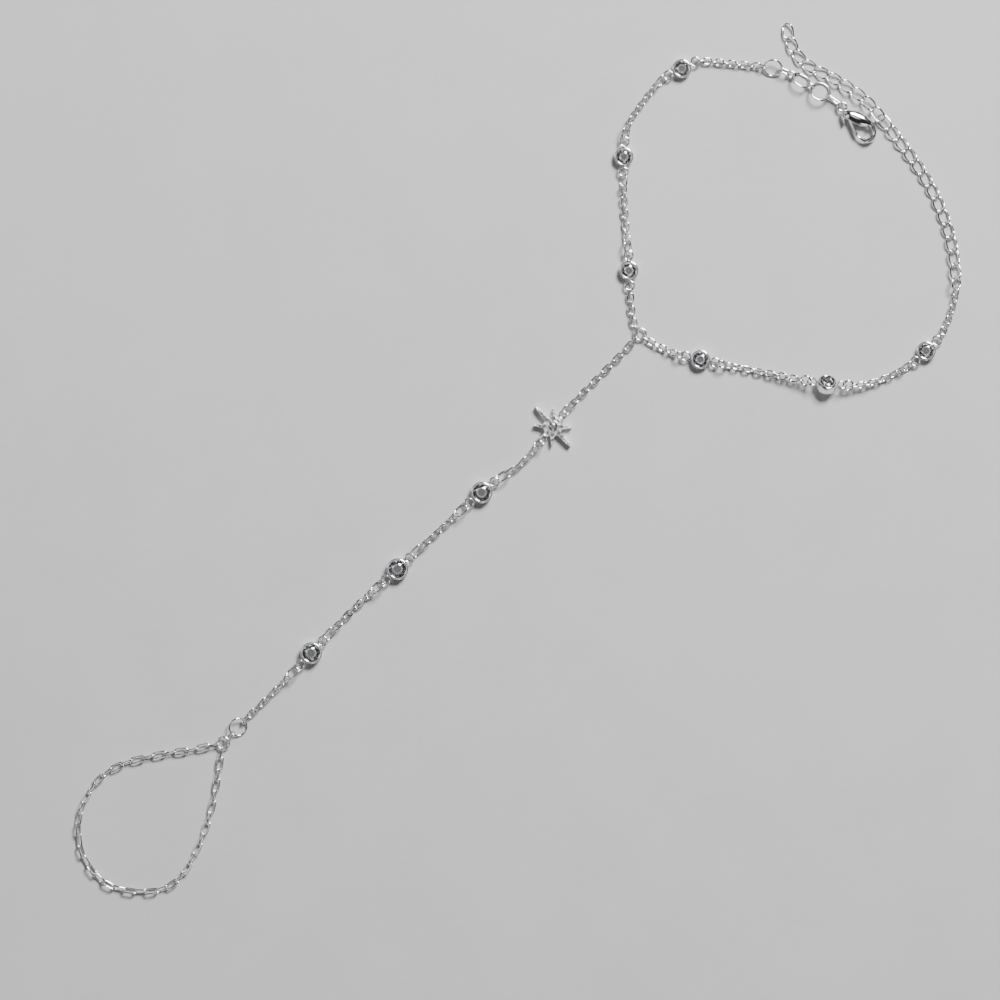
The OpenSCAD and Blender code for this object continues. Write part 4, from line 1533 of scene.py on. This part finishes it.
@dataclass
class Studio:
    """Pale floor, soft lights and the camera straight above."""

    middle: Pair = (-10.56, -14.66)
    view: float = 200.0
    sensor: float = 36.0
    # In metres: height and sight of the camera, and the side of the floor
    distance: float = 1.6
    sight: Pair = (0.05, 50.0)
    floor_side: float = 14.0
    lamps: tuple[Lamp, ...] = (
        Lamp("Key light", (0.35, 0.6, 0.8), 0.35, 30.0),
        Lamp("Fill light", (-0.7, 0.2, 0.7), 0.3, 1.3),
        Lamp("Rim light", (0.1, -0.9, 0.5), 0.25, 0.8))
    # Greys of the surround from the horizon up: dark overhead but for a patch that lights facets
    surround: tuple[Pair, ...] = (
        (0.02, 0.15), (0.3, 0.02), (0.985, 0.012), (0.994, 0.5), (1.0, 0.55))
    blue: float = 1.02
    strength: float = 2.0

    def build(self) -> None:
        """Adds the floor, the lights and the camera."""
        self.floor()
        self.world()
        for lamp in self.lamps:
            self.light(lamp)
        self.camera()

    def floor(self) -> None:
        """Adds the plain pale floor."""
        floor = named(added(bpy.ops.mesh.primitive_plane_add, size=self.floor_side), "Floor")
        coat(floor, FLOOR.make())

    def world(self) -> None:
        """Lights the scene from the grey surround."""
        world = bpy.data.worlds.new("Studio")
        bpy.context.scene.world = world
        world.use_nodes = True
        tree = world.node_tree
        shade = tree.nodes["Background"].inputs
        place = tree.nodes.new("ShaderNodeTexCoord")
        split = tree.nodes.new("ShaderNodeSeparateXYZ")
        tree.links.new(place.outputs["Generated"], split.inputs[0])
        greys = [(position, (grey, grey, grey * self.blue)) for position, grey in self.surround]
        tree.links.new(ramped(tree, split.outputs["Z"], greys), shade["Color"])
        shade["Strength"].default_value = self.strength

    def light(self, lamp: Lamp) -> None:
        """Adds one light that looks at the middle of the object.

        Args:
            lamp: The light.
        """
        deselect()
        bpy.ops.object.light_add(type="AREA", location=lamp.place)
        obj = bpy.context.object
        obj.name = lamp.name
        obj.data.energy = lamp.power
        obj.data.size = lamp.size
        aim = Vector((self.middle[0] * MM, self.middle[1] * MM, 0)) - Vector(lamp.place)
        obj.rotation_euler = aim.to_track_quat("-Z", "Y").to_euler()

    def camera(self) -> None:
        """Adds the camera straight above, framed as the photograph."""
        deselect()
        place = (self.middle[0] * MM, self.middle[1] * MM, self.distance)
        bpy.ops.object.camera_add(location=place, rotation=(0, 0, 0))
        camera = bpy.context.object
        camera.name = "Camera"
        camera.data.sensor_width = self.sensor
        camera.data.lens = self.sensor * self.distance / (self.view * MM)
        camera.data.clip_start, camera.data.clip_end = self.sight
        bpy.context.scene.camera = camera


# The bracelet


@dataclass
class Bracelet:
    """The whole object: builds each sub-assembly round the frame and dresses it."""

    nodes: Nodes
    wire: Material = field(default_factory=WIRE.make)
    cast: Material = field(default_factory=CAST.make)
    steel: Material = field(default_factory=STEEL.make)
    stone: Material = field(default_factory=STONE.make)
    pave: Material = field(default_factory=PAVE_STONE.make)

    def metalwork(self) -> None:
        """Builds all metal anew, apart from the clasp's pin."""
        wrist = RoundSetting(stone=3.0, height=1.75, ride=1.1738)
        hand = RoundSetting(stone=3.5, height=2.0, ride=1.2967)
        for part, finish in ((Wirework(), self.wire), (CurbChain(), self.wire),
                             (Settings("wrist", 6, wrist), self.cast),
                             (Settings("hand", 3, hand), self.cast),
                             (StarMount(), self.cast), (LobsterClasp(), self.steel)):
            part.build(self.nodes)
            part.dress(finish)

    def kept_shapes(self) -> None:
        """Dresses the cut stones and the pin, whose CAD shapes stay."""
        kept = {name: self.stone for name in self.nodes if "stone" in name}
        kept |= {"star_pave": self.pave, "clasp_pin": self.steel}
        for name, finish in kept.items():
            coat(self.nodes[name], finish)
            LOG.info("%s: its own shape, with the finish %s", name, finish.name)


def main() -> None:
    """Builds the scene round the frame."""
    logging.basicConfig(level=logging.INFO, format="%(message)s")
    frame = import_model()
    deselect()
    bracelet = Bracelet(frame["nodes"])
    bracelet.metalwork()
    bracelet.kept_shapes()
    Studio().build()
    deselect()


if __name__ == "__main__":
    main()
